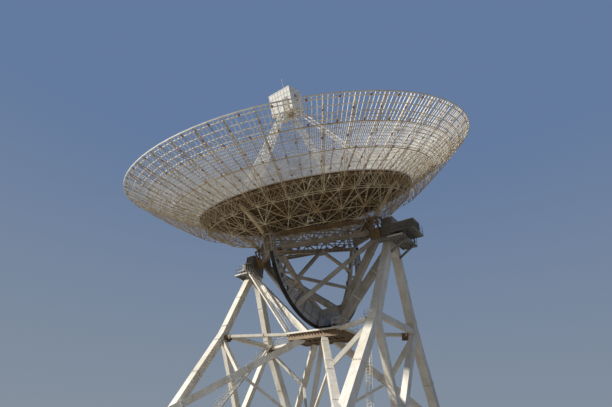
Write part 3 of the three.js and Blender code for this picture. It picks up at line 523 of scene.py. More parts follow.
# The centre: a round hub turns on the pedestal and takes the side forces through ties to the sills. Struts
# in cream paint rise from the four feet to the platform, and two more from there to the elevation bearings;
# the right one of these is painted a darker brown-grey, which is painted shade for the dish's shadow on it.
V_STRUTS = (((-6.05, 0, 11.3), (-0.45, 0, 6.48)), ((6.05, 0, 11.3), (1.8, 0, 6.3)))
V_STRUT_WIDTH = 0.43
V_STRUT_COLLARS = (0.3, 0.6)
STRUT_FOOT = (5.85, 5.85, 1.4)
STRUT_HEAD_LEVEL = 5.95
STRUT_WIDTH = 0.37
STRUT_COLLARS = (0.13, 0.44, 0.56, 0.9)

# Brown-grey paint darker than the cream, as painted shade for the dish's shadow on the stays and right V
# strut.
painted_shade_brown_grey = weathered("painted shade brown-grey", (0.32, 0.285, 0.235), (0.47, 0.43, 0.37), (0.16, 0.08, 0.035), 0.3)
brown_paint = weathered("brown paint", (0.17, 0.10, 0.04), (0.27, 0.175, 0.085), (0.16, 0.06, 0.015), 0.45)
finish_nodes(cream_paint, "cream_paint", "pintle_hub", "v_strut_left",
             *("platform_strut_" + name for name in CORNERS))
# The right V strut matches the cream left one; its darker brown-grey is painted shade from the dish.
finish_nodes(painted_shade_brown_grey, "cream_paint", "v_strut_right")
collars = bmesh.new()
for head, foot in V_STRUTS:
    splices(collars, head, foot, V_STRUT_COLLARS, V_STRUT_WIDTH, V_STRUT_WIDTH, (0, 1, 0))
for x, y in CORNERS.values():
    head = (0.6 + 0.8 * x, 0.65 * y, STRUT_HEAD_LEVEL)
    splices(collars, head, mirrored(STRUT_FOOT, x, y), STRUT_COLLARS, STRUT_WIDTH, STRUT_WIDTH)
cream_piece("strut_collars", collars)

# The platform in the middle has a pale plated deck on deep brown beams with rust; their deep brown is also
# painted shade under the deck. Four cream box beams tie it to the main legs, and a pipe railing and a net
# panel guard its edges.
DECK_LOW = 6.235
DECK_TOP = 6.34
DECK_X = (-1.35, 2.9)
DECK_HALF = 1.15
BEAM_LOW = 5.85
BEAM_INSET = 0.16
CROSS_BEAMS = (-1.19, -0.7, -0.2, 0.3, 0.75, 1.1, 1.4, 1.9, 2.35, 2.74)
LONG_BEAMS = (-0.99, -0.65, 0.0, 0.25, 0.65, 0.99)
BEAM_WEB = 0.025
BEAM_FLANGE = 0.024
CROSS_WIDTH = 0.13
LONG_WIDTH = 0.15
BRACKET_COUNT = 18
BRACKET_INSET = 0.12
BRACKET_Y = 1.07
BRACKET_SIZE = (0.02, 0.15, 0.12)
ARM_INNER = ((-1, -1.1), (1, 2.65))
ARM_INNER_Y = 0.9
ARM_LEVEL = 6.25
ARM_WIDTH = 0.3
ARM_DEPTH = 0.18
ARM_SPLICES = (0.12, 0.62)
GUSSET_HEIGHT = 0.26
GUSSET_START = 0.24
GUSSET_END = 0.72
RAIL_HEIGHT = 0.55
RAIL_POST_GAP = 0.7
RAIL_TUBE = 0.012
KICK_HEIGHT = 0.06
EDGE_RAIL = ((-1.3, 0.2), (-1.3, 1.1), (2.85, 1.1), (2.85, -1.1), (2.3, -1.1))
NET_START = Vector((-5.15, 2.26, 6.34))
NET_END = Vector((-3.0, 1.58, 6.34))
NET_HEIGHT = 0.6
NET_BARS = 17
NET_ROWS = 5
NET_WIRE = 0.009


def pipe_rail(mesh, start, end, bays, knee):
    """Pipe posts along a line of deck, with a hand rail and a knee rail."""
    for share in spread(0, 1, bays + 1):
        at = start.lerp(end, share)
        rod(mesh, at, at + UP * RAIL_HEIGHT, RAIL_TUBE, 5)
    for lift in (RAIL_HEIGHT, knee):
        rod(mesh, start + UP * lift, end + UP * lift, RAIL_TUBE, 5)


def railing(mesh, level, points):
    """Pipe rails with a kick plate along a line of (x, y) points at a deck's level."""
    corners = [Vector((x, y, level)) for x, y in points]
    for start, end in zip(corners, corners[1:]):
        pipe_rail(mesh, start, end, max(1, round((end - start).length / RAIL_POST_GAP)), RAIL_HEIGHT / 2)
        low = UP * KICK_HEIGHT / 2
        beam(mesh, start + low, end + low, KICK_HEIGHT, 0.008)


def girder(mesh, start, end, height, width, web, flange):
    """A plate beam with a web between a bottom and a top flange, its ends at the web's middle."""
    start, end = Vector(start), Vector(end)
    beam(mesh, start, end, height, web)
    for face in (-1, 1):
        shift = along(start, end).col[0].to_3d() * face * (height - flange) / 2
        beam(mesh, start + shift, end + shift, flange, width)


deck = bmesh.new()
arm_joints = bmesh.new()
gussets = bmesh.new()
block(deck, (sum(DECK_X) / 2, 0, (DECK_LOW + DECK_TOP) / 2),
      (DECK_X[1] - DECK_X[0], 2 * DECK_HALF, DECK_TOP - DECK_LOW), 0.008)
for x, inner_x in ARM_INNER:
    for y in (-1, 1):
        outer_end = Vector((LEG_KNEE.x * x, LEG_KNEE.y * y, ARM_LEVEL))
        inner_end = Vector((inner_x, y * ARM_INNER_Y, ARM_LEVEL))
        beam(deck, outer_end, inner_end, ARM_DEPTH, ARM_WIDTH, edge=0.01)
        splices(arm_joints, outer_end, inner_end, ARM_SPLICES, ARM_DEPTH, ARM_WIDTH)
        run = (inner_end - outer_end).normalized()
        underside = outer_end - UP * ARM_DEPTH / 2
        cheek = Vector((run.y, -run.x, 0)) * (ARM_WIDTH / 2 + 0.008)
        for shift, thickness in ((UP * -GUSSET_HEIGHT / 2, 0.03), (UP * 0.03 - cheek, 0.014),
                                 (UP * 0.03 + cheek, 0.014)):
            at = underside + shift
            beam(gussets, at + run * GUSSET_START, at + run * GUSSET_END, GUSSET_HEIGHT, thickness,
                 edge=0.008)
cream_piece("platform_deck", deck, "drive_platform")
cream_piece("arm_splices", arm_joints)
new_piece("knee_gussets", gussets, brown_paint, "alidade", "cream_paint")

beams = bmesh.new()
beam_height = DECK_LOW - BEAM_LOW
beam_level = (DECK_LOW + BEAM_LOW) / 2
for x in CROSS_BEAMS:
    girder(beams, (x, BEAM_INSET - DECK_HALF, beam_level), (x, DECK_HALF - BEAM_INSET, beam_level),
           beam_height - 0.001, CROSS_WIDTH, BEAM_WEB, BEAM_FLANGE)
for y in LONG_BEAMS:
    girder(beams, (DECK_X[0] + BEAM_INSET, y, beam_level), (DECK_X[1] - BEAM_INSET, y, beam_level),
           beam_height - 0.002, LONG_WIDTH, BEAM_WEB, BEAM_FLANGE)
for x in spread(DECK_X[0] + BRACKET_INSET, DECK_X[1] - BRACKET_INSET, BRACKET_COUNT):
    for y in (-BRACKET_Y, BRACKET_Y):
        block(beams, (x, y, DECK_LOW - BRACKET_SIZE[2] / 2), BRACKET_SIZE)
# The beams' deep brown paint is painted shade under the deck as well as rust.
new_piece("platform_beams", beams, brown_paint, "alidade", "cream_paint", "drive_platform")

edge_rails = bmesh.new()
railing(edge_rails, DECK_TOP, EDGE_RAIL)
for bar, share in enumerate(spread(0, 1, NET_BARS)):
    at = NET_START.lerp(NET_END, share)
    rod(edge_rails, at, at + UP * NET_HEIGHT, NET_WIRE if bar % 4 else RAIL_TUBE, 5)
for lift in spread(0, NET_HEIGHT, NET_ROWS):
    tube = RAIL_TUBE if lift == NET_HEIGHT else NET_WIRE
    rod(edge_rails, NET_START + UP * lift, NET_END + UP * lift, tube, 5)
cream_piece("platform_railings", edge_rails)

# The elevation drive is dark machinery on the platform: a finned gearbox under the rack, two finned motors,
# and a panelled control box in blue-grey paint on the gearbox.
GEARBOX_X = 1.03
GEARBOX_SIDES = (0.712, 1.358)
MOTOR_X = 1.75
MOTOR_Y = 0.24
MOTOR_FOOT = (0.5, 0.2, 0.16)
MOTOR_FOOT_LEVEL = 6.42
MOTOR_FINS = 9
MOTOR_FIN_RADIUS = 0.145
MOTOR_HEIGHT = 6.62
MOTOR_PROFILE = [(0.02, -0.3), (0.11, -0.3), (0.13, -0.26), (0.13, 0.2), (0.1, 0.24), (0.1, 0.3),
                 (0.02, 0.3)]
CABINET = Vector((1.03, -0.02, 6.93))
CABINET_SIZE = (0.5, 0.8, 0.46)
CABINET_PANEL = (0.52, 0.23, 0.38)
PANEL_Y = 0.26
FIN_COUNT = 8
TOP_FIN = (0.58, 0.016, 0.018)
SIDE_FIN = (0.016, 0.016, 0.32)

dark_steel = weathered("dark steel", (0.022, 0.021, 0.02), (0.045, 0.042, 0.04), (0.07, 0.035, 0.018),
                       0.2, 0.3)
finish_nodes(dark_steel, "dark_steel", "elevation_drive")
drive = bmesh.new()
for y in (-MOTOR_Y, MOTOR_Y):
    motor = Matrix.Translation((MOTOR_X, y, MOTOR_HEIGHT)) @ ALONG_X
    turned(drive, MOTOR_PROFILE, 20, motor)
    disc(drive, motor @ Matrix.Translation((0, 0, -0.33)), 0.09, 0.08, 20)
    block(drive, (MOTOR_X - 0.03, y, MOTOR_FOOT_LEVEL), MOTOR_FOOT, 0.006)
    for shift in spread(-0.22, 0.18, MOTOR_FINS):
        disc(drive, motor @ Matrix.Translation((0, 0, shift)), MOTOR_FIN_RADIUS, 0.01, 20)
for y in spread(-0.38, 0.376, FIN_COUNT):
    block(drive, (GEARBOX_X, y, 6.7), TOP_FIN)
    for x in GEARBOX_SIDES:
        block(drive, (x, y, 6.52), SIDE_FIN)
new_piece("drive_motors", drive, dark_steel, "alidade", "dark_steel")
blue_paint = weathered("blue-grey paint", (0.17, 0.19, 0.22), (0.25, 0.27, 0.30), (0.12, 0.07, 0.04), 0.15)
cabinet = bmesh.new()
block(cabinet, CABINET, CABINET_SIZE, 0.012)
for y in (-PANEL_Y, 0, PANEL_Y):
    block(cabinet, CABINET + Vector((0, y, 0)), CABINET_PANEL, 0.006)
new_piece("control_cabinet", cabinet, blue_paint, "alidade", "cream_paint")

# Two steep flights of open steel treads lead up: the lower one along the left side frame to its landing, the
# upper one from the drive platform along the left strut. Each has flat side plates and pipe rails.
STAIR_WIDTH = 0.43
STAIR_RISE = 0.1
TREAD_DEPTH = 0.085
TREAD_THICKNESS = 0.012
SIDE_PLATE = 0.1
STAIR_POST_GAP = 0.8
STAIR_X = -5.425
LOWER_START = Vector((STAIR_X, -4.1, 0.06))
LOWER_END = Vector((STAIR_X, 1.85, 6.35))
UPPER_START = Vector((-1.35, -0.93, 6.4))
UPPER_END = Vector((-5.6, -0.93, 11.32))
SEAT_PLACE = (STAIR_X, -3.036, 1.17)
SEAT_SIZE = (0.3, 0.05, 0.34)
LANDING_PLACE = (STAIR_X, 2.135, 6.375)
LANDING_SIZE = (STAIR_WIDTH, 0.61, 0.045)
LANDING_TOP = 6.4
LANDING_RAIL = ((-5.22, 1.86), (-5.22, 2.42), (-5.62, 2.42))


def flight(mesh, low, high, across):
    """A straight flight from low to high; across points from the middle line to one side."""
    treads = round((high.z - low.z) / STAIR_RISE)
    half = across * (STAIR_WIDTH - 0.03) / 2
    for k in range(treads):
        at = low.lerp(high, (k + 0.6) / treads)
        beam(mesh, at - half, at + half, TREAD_THICKNESS, TREAD_DEPTH)
    for face in (-1, 1):
        side = across * face * (STAIR_WIDTH / 2 - 0.008)
        beam(mesh, low + side, high + side, SIDE_PLATE, 0.014)
        bays = round((high - low).length / STAIR_POST_GAP)
        pipe_rail(mesh, low + side, high + side, bays, RAIL_HEIGHT * 0.55)


lower_flight = bmesh.new()
flight(lower_flight, LOWER_START, LOWER_END, Vector((1, 0, 0)))
block(lower_flight, LANDING_PLACE, LANDING_SIZE, 0.004)
railing(lower_flight, LANDING_TOP, LANDING_RAIL)
block(lower_flight, SEAT_PLACE, SEAT_SIZE)
cream_piece("lower_flight", lower_flight, "stair_lower")
upper_flight = bmesh.new()
flight(upper_flight, UPPER_START, UPPER_END, Vector((0, 1, 0)))
cream_piece("upper_flight", upper_flight, "stair_upper")

# A caged ladder stands inside the near right leg and hooks over the platform's arm. It is welded from round
# rungs and thin steel flats, and is painted cream like the frame.
LADDER_X = 5.1
LADDER_Y = -1.835
LADDER_LOW = 0.25
LADDER_HIGH = 6.89
LADDER_HALF = 0.115
RUNG_GAP = 0.15
RUNG_RADIUS = 0.008
HOOK_LEVEL = 6.36
HOOK_SIZE = (0.03, 0.32, 0.03)
CAGE_RADIUS = 0.19
CAGE_SHIFT = 0.07
CAGE_LOW = 1.3
HOOP_GAP = 0.45
HOOP_COUNT = 12
CAGE_FLAT = 0.006
CAGE_BARS = (-30, 15, 60, 105, 150, 195)

ladder = bmesh.new()
for x in (LADDER_X - LADDER_HALF, LADDER_X + LADDER_HALF):
    beam(ladder, (x, LADDER_Y, LADDER_LOW), (x, LADDER_Y, LADDER_HIGH), 0.03, 0.012, (0, 1, 0))
    block(ladder, (x, LADDER_Y + HOOK_SIZE[1] / 2, HOOK_LEVEL), HOOK_SIZE)
for k in range(int((LADDER_HIGH - LADDER_LOW) / RUNG_GAP)):
    z = LADDER_LOW + 0.08 + k * RUNG_GAP
    rod(ladder, (LADDER_X - LADDER_HALF, LADDER_Y, z), (LADDER_X + LADDER_HALF, LADDER_Y, z), RUNG_RADIUS,
        5)


def cage_point(turn, z):
    """A point of the cage, the turn in degrees from the ladder's right rail round its back."""
    angle = math.radians(turn)
    x, y = CAGE_RADIUS * math.cos(angle), CAGE_RADIUS * math.sin(angle)
    return Vector((LADDER_X + x, LADDER_Y + CAGE_SHIFT + y, z))


cage_high = CAGE_LOW + HOOP_COUNT * HOOP_GAP
for z in spread(CAGE_LOW, cage_high, HOOP_COUNT + 1):
    for turn in range(-45, 225, 30):
        beam(ladder, cage_point(turn, z), cage_point(turn + 30, z), 0.03, CAGE_FLAT)
for turn in CAGE_BARS:
    beam(ladder, cage_point(turn, CAGE_LOW), cage_point(turn, cage_high), 0.02, CAGE_FLAT,
         cage_point(turn + 90, 0) - cage_point(turn - 90, 0))
cream_piece("ladder_and_cage", ladder, "caged_ladder")

# Each elevation bearing sits in a heavy split housing of grey-painted cast steel on the meeting point of two
# legs. The cap is bolted down along its middle, and webs stiffen its cheeks.
SIDES = {"left": -1, "right": 1}
AXIS_HEIGHT = 12.4
HOUSING_LOW_X = 5.76
HOUSING_HIGH_X = 6.57
HOUSING_WIDTH = HOUSING_HIGH_X - HOUSING_LOW_X
HOUSING_HALF = 0.65
HOUSING_TOP = 13.05
HOUSING_FLANGES = ((AXIS_HEIGHT - 0.035, 0.05), (AXIS_HEIGHT + 0.035, 0.05), (11.58, 0.06))
HOUSING_WEBS = ((0.04, 11.97, 0.74), (0.03, 12.72, 0.52))

for name, side in SIDES.items():
    finish_nodes(grey_paint, "grey_paint", "bearing_housing_" + name)
    housing = bmesh.new()
    middle_x = side * (HOUSING_LOW_X + HOUSING_HIGH_X) / 2
    for face in (-1, 1):
        for level, thickness in HOUSING_FLANGES:
            at = (middle_x, face * (HOUSING_HALF + 0.05), level)
            block(housing, at, (HOUSING_WIDTH * 0.96, 0.1, thickness), 0.006)
        for x in spread(HOUSING_LOW_X + HOUSING_WIDTH / 8, HOUSING_HIGH_X - HOUSING_WIDTH / 8, 4):
            disc(housing, (side * x, face * (HOUSING_HALF + 0.055), AXIS_HEIGHT), 0.022, 0.2)
            for reach, level, height in HOUSING_WEBS:
                block(housing, (side * x, face * (HOUSING_HALF + reach), level), (0.03, 2 * reach, height))
    block(housing, (middle_x, 0, HOUSING_TOP + 0.012), (HOUSING_WIDTH, 1.2, 0.02), 0.004)
    new_piece("housing_caps_" + name, housing, grey_paint, "alidade", "grey_paint")

# Outside each bearing hangs a service platform with a ribbed equipment box and plated decks on ribs, in dark
# brown-grey paint with thin railings. The left one is shorter, and the long stair leads up to it.
LOWER_DECK_TOP = 11.362
UPPER_DECK_TOP = 11.882
DECK_REACH = {"left": (7.02, 7.17), "right": (7.42, 7.97)}
LOWER_NEAR = -1.22
LOWER_FAR = 0.97
UPPER_HALF = 0.77
DECK_RIB_DROP = 0.092
EQUIPMENT_HALF = 0.48
EQUIPMENT_LEVEL = 12.24
EQUIPMENT_TOP = 12.6
RIB_HEIGHT = 0.66
BOX_RIB_START = 6.66
BOX_RIB_GAP = 0.145
DECK_RIB_START = 6.55
DECK_RIB_GAP = 0.2
ROOF_START = 6.571
LIP_START = 6.43

service_paint = weathered("service platform paint", (0.16, 0.15, 0.13), (0.25, 0.24, 0.22),
                          (0.13, 0.06, 0.025), 0.4)
for name, side in SIDES.items():
    finish_nodes(service_paint, "grey_paint", "bearing_platform_" + name)
    lower_end, upper_end = DECK_REACH[name]
    box_end = upper_end - 0.07
    rails = bmesh.new()
    lower_line = ((5.68, LOWER_NEAR), (lower_end, LOWER_NEAR), (lower_end, LOWER_FAR), (6.46, LOWER_FAR))
    upper_line = ((6.62, -UPPER_HALF), (upper_end, -UPPER_HALF), (upper_end, UPPER_HALF), (6.62, UPPER_HALF))
    for level, line in ((LOWER_DECK_TOP, lower_line), (UPPER_DECK_TOP, upper_line)):
        railing(rails, level, [(side * x, y) for x, y in line])
    for k in range(round((box_end - BOX_RIB_START + 0.06) / BOX_RIB_GAP)):
        x = side * (BOX_RIB_START + k * BOX_RIB_GAP)
        for face in (-1, 1):
            block(rails, (x, face * (EQUIPMENT_HALF + 0.012), EQUIPMENT_LEVEL), (0.03, 0.024, RIB_HEIGHT))
        block(rails, (x, 0, UPPER_DECK_TOP - DECK_RIB_DROP), (0.03, 1.52, 0.06))
    for y in spread(-0.4, 0.4, 6):
        block(rails, (side * (box_end + 0.012), y, EQUIPMENT_LEVEL), (0.024, 0.03, RIB_HEIGHT))
    for k in range(round((lower_end - DECK_RIB_START + 0.05) / DECK_RIB_GAP)):
        x = side * (DECK_RIB_START + k * DECK_RIB_GAP)
        block(rails, (x, -0.12, LOWER_DECK_TOP - DECK_RIB_DROP), (0.03, 2.1, 0.06))
    new_piece("bearing_railings_" + name, rails, service_paint, "alidade", "cream_paint")
    edges = bmesh.new()
    block(edges, (side * (ROOF_START + box_end) / 2, 0, EQUIPMENT_TOP + 0.012),
          (box_end - ROOF_START + 0.041, 1.02, 0.024), 0.004)
    for y in (-1.252, 1.002):
        block(edges, (side * (LIP_START + lower_end) / 2, y, LOWER_DECK_TOP - 0.03),
              (lower_end - LIP_START + 0.03, 0.012, 0.06))
    new_piece("platform_edges_" + name, edges, cream_paint, "alidade", "grey_paint")

# The cradle is a diamond of trusses round the wheel, which brings the dish's weight from the space frame to
# the axle blocks at its two corners. Its upper chords are brown, and its lower chords and posts faded tan.
REST_TIP = math.radians(22.5)
DISH = Matrix.Translation((0, 0, AXIS_HEIGHT)) @ Matrix.Rotation(REST_TIP, 4, "X")
CRADLE_START = (4.7, 0.5, 0)
CRADLE_CORNER_Y = 4.87
WHEEL_SIDE_ENDS = {"left": 0.15, "right": 0.75}
LOW_CHORD = 0.16
HIGH_CHORD = 1.0
CRADLE_CHORD = 0.3
CRADLE_WEB = 0.165
CRADLE_FLANGE = 0.03
CRADLE_BAYS = 8
LOW_GIRDER = 0.28
HIGH_GIRDER = 0.26
AXLE_BLOCK_X = 5.15
AXLE_BLOCK = (0.8, 0.8, 0.72)
AXLE_CAP = (0.84, 0.84, 0.1)
AXLE_POSTS_X = (4.8, AXLE_BLOCK_X, 5.5)
POST_Y = 0.37
POST_SIZE = (0.09, 0.09, 0.7)
POST_FOOT = (0.03, 0.04, 0.66)
AXLE_PROFILE = [(0.05, 5.5), (0.3, 5.5), (0.3, 6.5), (0.05, 6.5)]


def dish_piece(name, mesh, material, slot, *nodes):
    """A piece of the tipping part. It is drawn level round the axle and tips to its rest here."""
    mesh.transform(DISH)
    new_piece(name, mesh, material, "dish", slot, *nodes)


tan_paint = weathered("tan paint", (0.28, 0.23, 0.155), (0.42, 0.36, 0.27), (0.17, 0.075, 0.025), 0.4)
for name, side in SIDES.items():
    upper = bmesh.new()
    lower = bmesh.new()
    low, high = UP * LOW_CHORD, UP * HIGH_CHORD
    for face in (-1, 1):
        start = mirrored(CRADLE_START, side, face)
        end = Vector((side * WHEEL_SIDE_ENDS[name], face * CRADLE_CORNER_Y, 0))
        girder(lower, start + low, end + low, LOW_GIRDER, CRADLE_CHORD, CRADLE_WEB, CRADLE_FLANGE)
        girder(upper, start + high, end + high, HIGH_GIRDER, CRADLE_CHORD, CRADLE_WEB, CRADLE_FLANGE)
        stops = [start.lerp(end, share) for share in spread(0, 1, CRADLE_BAYS + 1)]
        for k, (here, there) in enumerate(zip(stops, stops[1:])):
            first, second = (low, high) if k % 2 else (high, low)
            beam(lower, here + first, there + second, 0.09, 0.12, edge=0.006)
            beam(lower, there + low, there + high, 0.07, 0.09, (1, 0, 0), 0.006)
            for level in (LOW_CHORD + 0.12, HIGH_CHORD - 0.28):
                beam(lower, there + UP * level, there + UP * (level + 0.16), 0.3, 0.13, end - start)
        for x in AXLE_POSTS_X:
            block(upper, (side * x, face * POST_Y, 0.7), POST_SIZE)
            block(upper, (side * x, face * 0.407, 0.03), POST_FOOT)
        for x in (AXLE_POSTS_X[0], AXLE_POSTS_X[2]):
            beam(upper, (side * x, face * POST_Y, 0.4), (side * AXLE_BLOCK_X, face * POST_Y, 1.03),
                 0.06, 0.06, edge=0.008)
    for level in (LOW_CHORD, HIGH_CHORD):
        for k in range(1, 5):
            near_side = (side * (CRADLE_START[0] - k * 0.9), -0.5 - k * 0.85, level)
            rod(lower, near_side, mirrored(near_side, 1, -1), 0.04)
    block(upper, (side * AXLE_BLOCK_X, 0, 0.03), AXLE_BLOCK, 0.02)
    block(upper, (side * AXLE_BLOCK_X, 0, 1.08), AXLE_CAP, 0.01)
    turned(upper, AXLE_PROFILE, 40, Matrix.Rotation(side * math.pi / 2, 4, "Y"))
    for kind, shape, paint in (("truss", lower, tan_paint), ("chords", upper, brown_paint)):
        dish_piece("cradle_" + kind + "_" + name, shape, paint, "tan_paint", "cradle_" + name)

# The elevation wheel is half a ring of deep plate girder under the dish, with webs, round holes and ribs,
# and an outer flange that carries the rack, painted near black as painted shade. Tan box chords, two spars
# and a tie brace its open middle.
WHEEL_LOW_X = 0.4
WHEEL_HIGH_X = 0.65
WHEEL_MIDDLE_X = 0.525
WHEEL_EDGE = 5.7
RIM_PLATE = 0.05
RING_DEPTH = 0.62
DEEP_RIB = 1.12
DEEP_RIB_FROM = 34
WEB_INSET = 0.03
WEB_PLATE = 0.02
INNER_CORNERS = [(-3.3, -3.02), (-1.66, -4.48)]
HOLE_TURNS = (7, 16.5, 26)
HOLE_RADIUS = 0.165
HOLE_SIDES = 16
RIB_TURNS = (4, 11.5, 21, 30, 38, 47, 56, 66, 76)
STIFFENERS = ((5.28, 34, 146), (4.86, 58, 122))
V_POINTS = [(-4.5, -0.3), (-2.93, -2.77), (-1.51, -4.2), (1.51, -4.2), (2.93, -2.77), (4.5, -0.3)]
V_CENTRE = Vector((0, -1.7))
CHORD_WIDTH = 0.3
CHORD_OVERLAP = 0.1
LACING = ((5.02, -0.55, 4.42, -0.86), (4.42, -0.86, 4.86, -1.36), (4.86, -1.36, 4.02, -1.5),
          (4.3, -2.5, 3.3, -2.2), (3.9, -2.9, 3.15, -2.45))
SPAR_DEPTH = 0.225
SPAR_WIDTH = 0.2
SPAR_END = (3.62, -1.92)
TIE_ENDS = ((-3.42, -1.8), (2.66, -3.135))
TIE_WIDTH = 0.2
HORN_Y = (5.25, 5.62)
HORN_X = (0.02, 0.6)
HORN_POST = 0.09
SHELF_LEVELS = (0.04, 0.58, 1.11)
SHELF_SIZE = (0.66, 0.44, 0.05)
CROSS_GIRDER = -0.15
JOINT_PLATES = ((0, -0.3, 0.6, 0), (-3.5, -1.88, 0.6, 35), (3.5, -1.88, 0.6, -35), (-3.06, -2.9, 0.62, 35),
                (3.06, -2.9, 0.62, -35))


def on_wheel(radius, turn):
    """The (y, s) point on a circle round the axle, the turn in degrees down from the near side."""
    return (-radius * math.cos(math.radians(turn)), -radius * math.sin(math.radians(turn)))


def arc(radius, first, last, steps):
    return [on_wheel(radius, turn) for turn in spread(first, last, steps + 1)]


def wheel_beam(mesh, x, first, second, width, depth, edge=0.0):
    """A member between two (y, s) points in a plane across the axle, its width along the axle."""
    beam(mesh, (x, *first), (x, *second), width, depth, (1, 0, 0), edge)


def cut_plate(mesh, outline, holes, x, thickness):
    """A flat plate across the wheel's axle, cut to an outline of (y, s) points with round holes in it."""
    part = bmesh.new()
    turns = [FULL_TURN * k / HOLE_SIDES for k in range(HOLE_SIDES)]
    edges = []
    for loop in [outline] + [[(y + HOLE_RADIUS * math.cos(a), s + HOLE_RADIUS * math.sin(a)) for a in turns]
                             for y, s in holes]:
        verts = [part.verts.new((x, y, s)) for y, s in loop]
        edges += [part.edges.new((verts[i - 1], verts[i])) for i in range(len(verts))]
    bmesh.ops.triangle_fill(part, use_beauty=True, use_dissolve=False, edges=edges)
    walls = bmesh.ops.extrude_face_region(part, geom=part.faces[:])
    bmesh.ops.translate(part, verts=[v for v in walls["geom"] if isinstance(v, bmesh.types.BMVert)],
                        vec=(thickness, 0, 0))
    face_outwards(part)
    stamp(mesh, part, (0, 0, 0))


web_paint = weathered("wheel paint", (0.30, 0.29, 0.275), (0.42, 0.405, 0.38), (0.14, 0.08, 0.045), 0.3)
chord_paint = weathered("chord paint", (0.36, 0.29, 0.21), (0.50, 0.42, 0.32), (0.17, 0.08, 0.03), 0.4)
webs = bmesh.new()
inner_near = arc(WHEEL_EDGE - RING_DEPTH, 3, 27, 6) + INNER_CORNERS
inner_far = [(-y, s) for y, s in reversed(inner_near)]
web_outline = arc(WHEEL_EDGE - RIM_PLATE, 2, 178, 56) + list(reversed(inner_near + inner_far))
holes = [on_wheel(WHEEL_EDGE - 0.3, turn) for turn in HOLE_TURNS]
holes += [(-y, s) for y, s in holes]
for x in (WHEEL_LOW_X + WEB_INSET, WHEEL_HIGH_X - WEB_INSET - WEB_PLATE):
    cut_plate(webs, web_outline, holes, x, WEB_PLATE)
for edge in (inner_near, inner_far):
    for first, second in zip(edge, edge[1:]):
        wheel_beam(webs, WHEEL_MIDDLE_X, first, second, WHEEL_HIGH_X - WHEEL_LOW_X - 0.01, 0.025)
for y in spread(-1.3, -0.22, 5):
    block(webs, (WHEEL_HIGH_X - 0.01, y, -4.86), (0.018, 0.22, 0.5), 0.004)
dish_piece("wheel_webs", webs, web_paint, "grey_paint", "elevation_wheel")
# The ribs and stiffeners take a darker grey than the webs: painted shade that draws them as dark lines.
ribs = bmesh.new()
for rib in RIB_TURNS:
    depth = RING_DEPTH if rib < DEEP_RIB_FROM else DEEP_RIB
    for turn in (rib, 180 - rib):
        outside, inside = on_wheel(WHEEL_EDGE - RIM_PLATE, turn), on_wheel(WHEEL_EDGE - depth, turn)
        for x in (WHEEL_LOW_X + WEB_INSET / 2, WHEEL_HIGH_X - WEB_INSET / 2):
            wheel_beam(ribs, x, outside, inside, WEB_INSET * 0.95, 0.045)
for radius, start, end in STIFFENERS:
    bend = arc(radius, start, end, 24)
    for first, second in zip(bend, bend[1:]):
        wheel_beam(ribs, WHEEL_HIGH_X - 0.015, first, second, 0.02, 0.04)
dish_piece("wheel_ribs", ribs, grey_paint, "grey_paint", "elevation_wheel")

chords = bmesh.new()
corners = [Vector(point) for point in V_POINTS]
for first, second in zip(corners, corners[1:]):
    run = (second - first).normalized()
    out = Vector((-run.y, run.x)) * CHORD_WIDTH / 2
    if out.dot((first + second) / 2 - V_CENTRE) < 0:
        out = -out
    lap = run * CHORD_OVERLAP
    wheel_beam(chords, WHEEL_MIDDLE_X, first + out - lap, second + out + lap, 0.24, CHORD_WIDTH, 0.012)
for side in (-1, 1):
    for y1, s1, y2, s2 in LACING:
        for x in (WHEEL_LOW_X + 0.05, WHEEL_HIGH_X - 0.05):
            wheel_beam(chords, x, (side * y1, s1), (side * y2, s2), 0.05, 0.09)
    wheel_beam(chords, WHEEL_MIDDLE_X, (0, CROSS_GIRDER), (side * SPAR_END[0], SPAR_END[1]), SPAR_WIDTH,
               SPAR_DEPTH, 0.01)
    inner_y, outer_y = (side * y for y in HORN_Y)
    for x in HORN_X:
        block(chords, (x, inner_y, 0.57), (HORN_POST, HORN_POST, 1.14), 0.008)
        block(chords, (x, outer_y, 0.53), (HORN_POST, HORN_POST, 1.22), 0.008)
        for level in (0.05, 1.1):
            wheel_beam(chords, x, (inner_y, level), (outer_y, 0.6), 0.05, 0.07)
    for level in SHELF_LEVELS:
        block(chords, (0.31, (inner_y + outer_y) / 2, level), SHELF_SIZE, 0.006)
wheel_beam(chords, WHEEL_MIDDLE_X, *TIE_ENDS, TIE_WIDTH, TIE_WIDTH, 0.01)
for level in (CROSS_GIRDER - 0.12, CROSS_GIRDER + 0.12):
    block(chords, (WHEEL_MIDDLE_X, 0, level), (0.24, 10.9, 0.04), 0.006)
block(chords, (WHEEL_MIDDLE_X, 0, CROSS_GIRDER), (0.05, 10.8, 0.24), 0.004)
for y in spread(-4.8, 4.8, 17):
    block(chords, (WHEEL_MIDDLE_X, y, CROSS_GIRDER), (0.22, 0.025, 0.22))
for y, s, size, lean in JOINT_PLATES:
    for x in (WHEEL_LOW_X + 0.012, WHEEL_HIGH_X - 0.012):
        turn = Matrix.Rotation(math.radians(lean), 4, "X")
        block(chords, Matrix.Translation((x, y, s)) @ turn, (0.02, size, size * 0.62), 0.004)
dish_piece("wheel_chords", chords, chord_paint, "grey_paint", "elevation_wheel")

# The rack is a ring of dark greased teeth, cut in steel segments that are bolted round the wheel's outer
# flange. Grease and road dust have turned the teeth black, and the flange is painted the same near black
# as painted shade, for the shadow on its outer face.
RACK_SEAT = WHEEL_EDGE + 0.0006
RACK_ROOT = 5.775
RACK_TIP = 5.828
RACK_LOW_X = 0.435
RACK_HIGH_X = 0.615
RACK_SWEEP = math.radians(164.5)
TEETH = 162
TOOTH_SCALE = (RACK_HIGH_X - RACK_LOW_X - 0.02) / 0.052

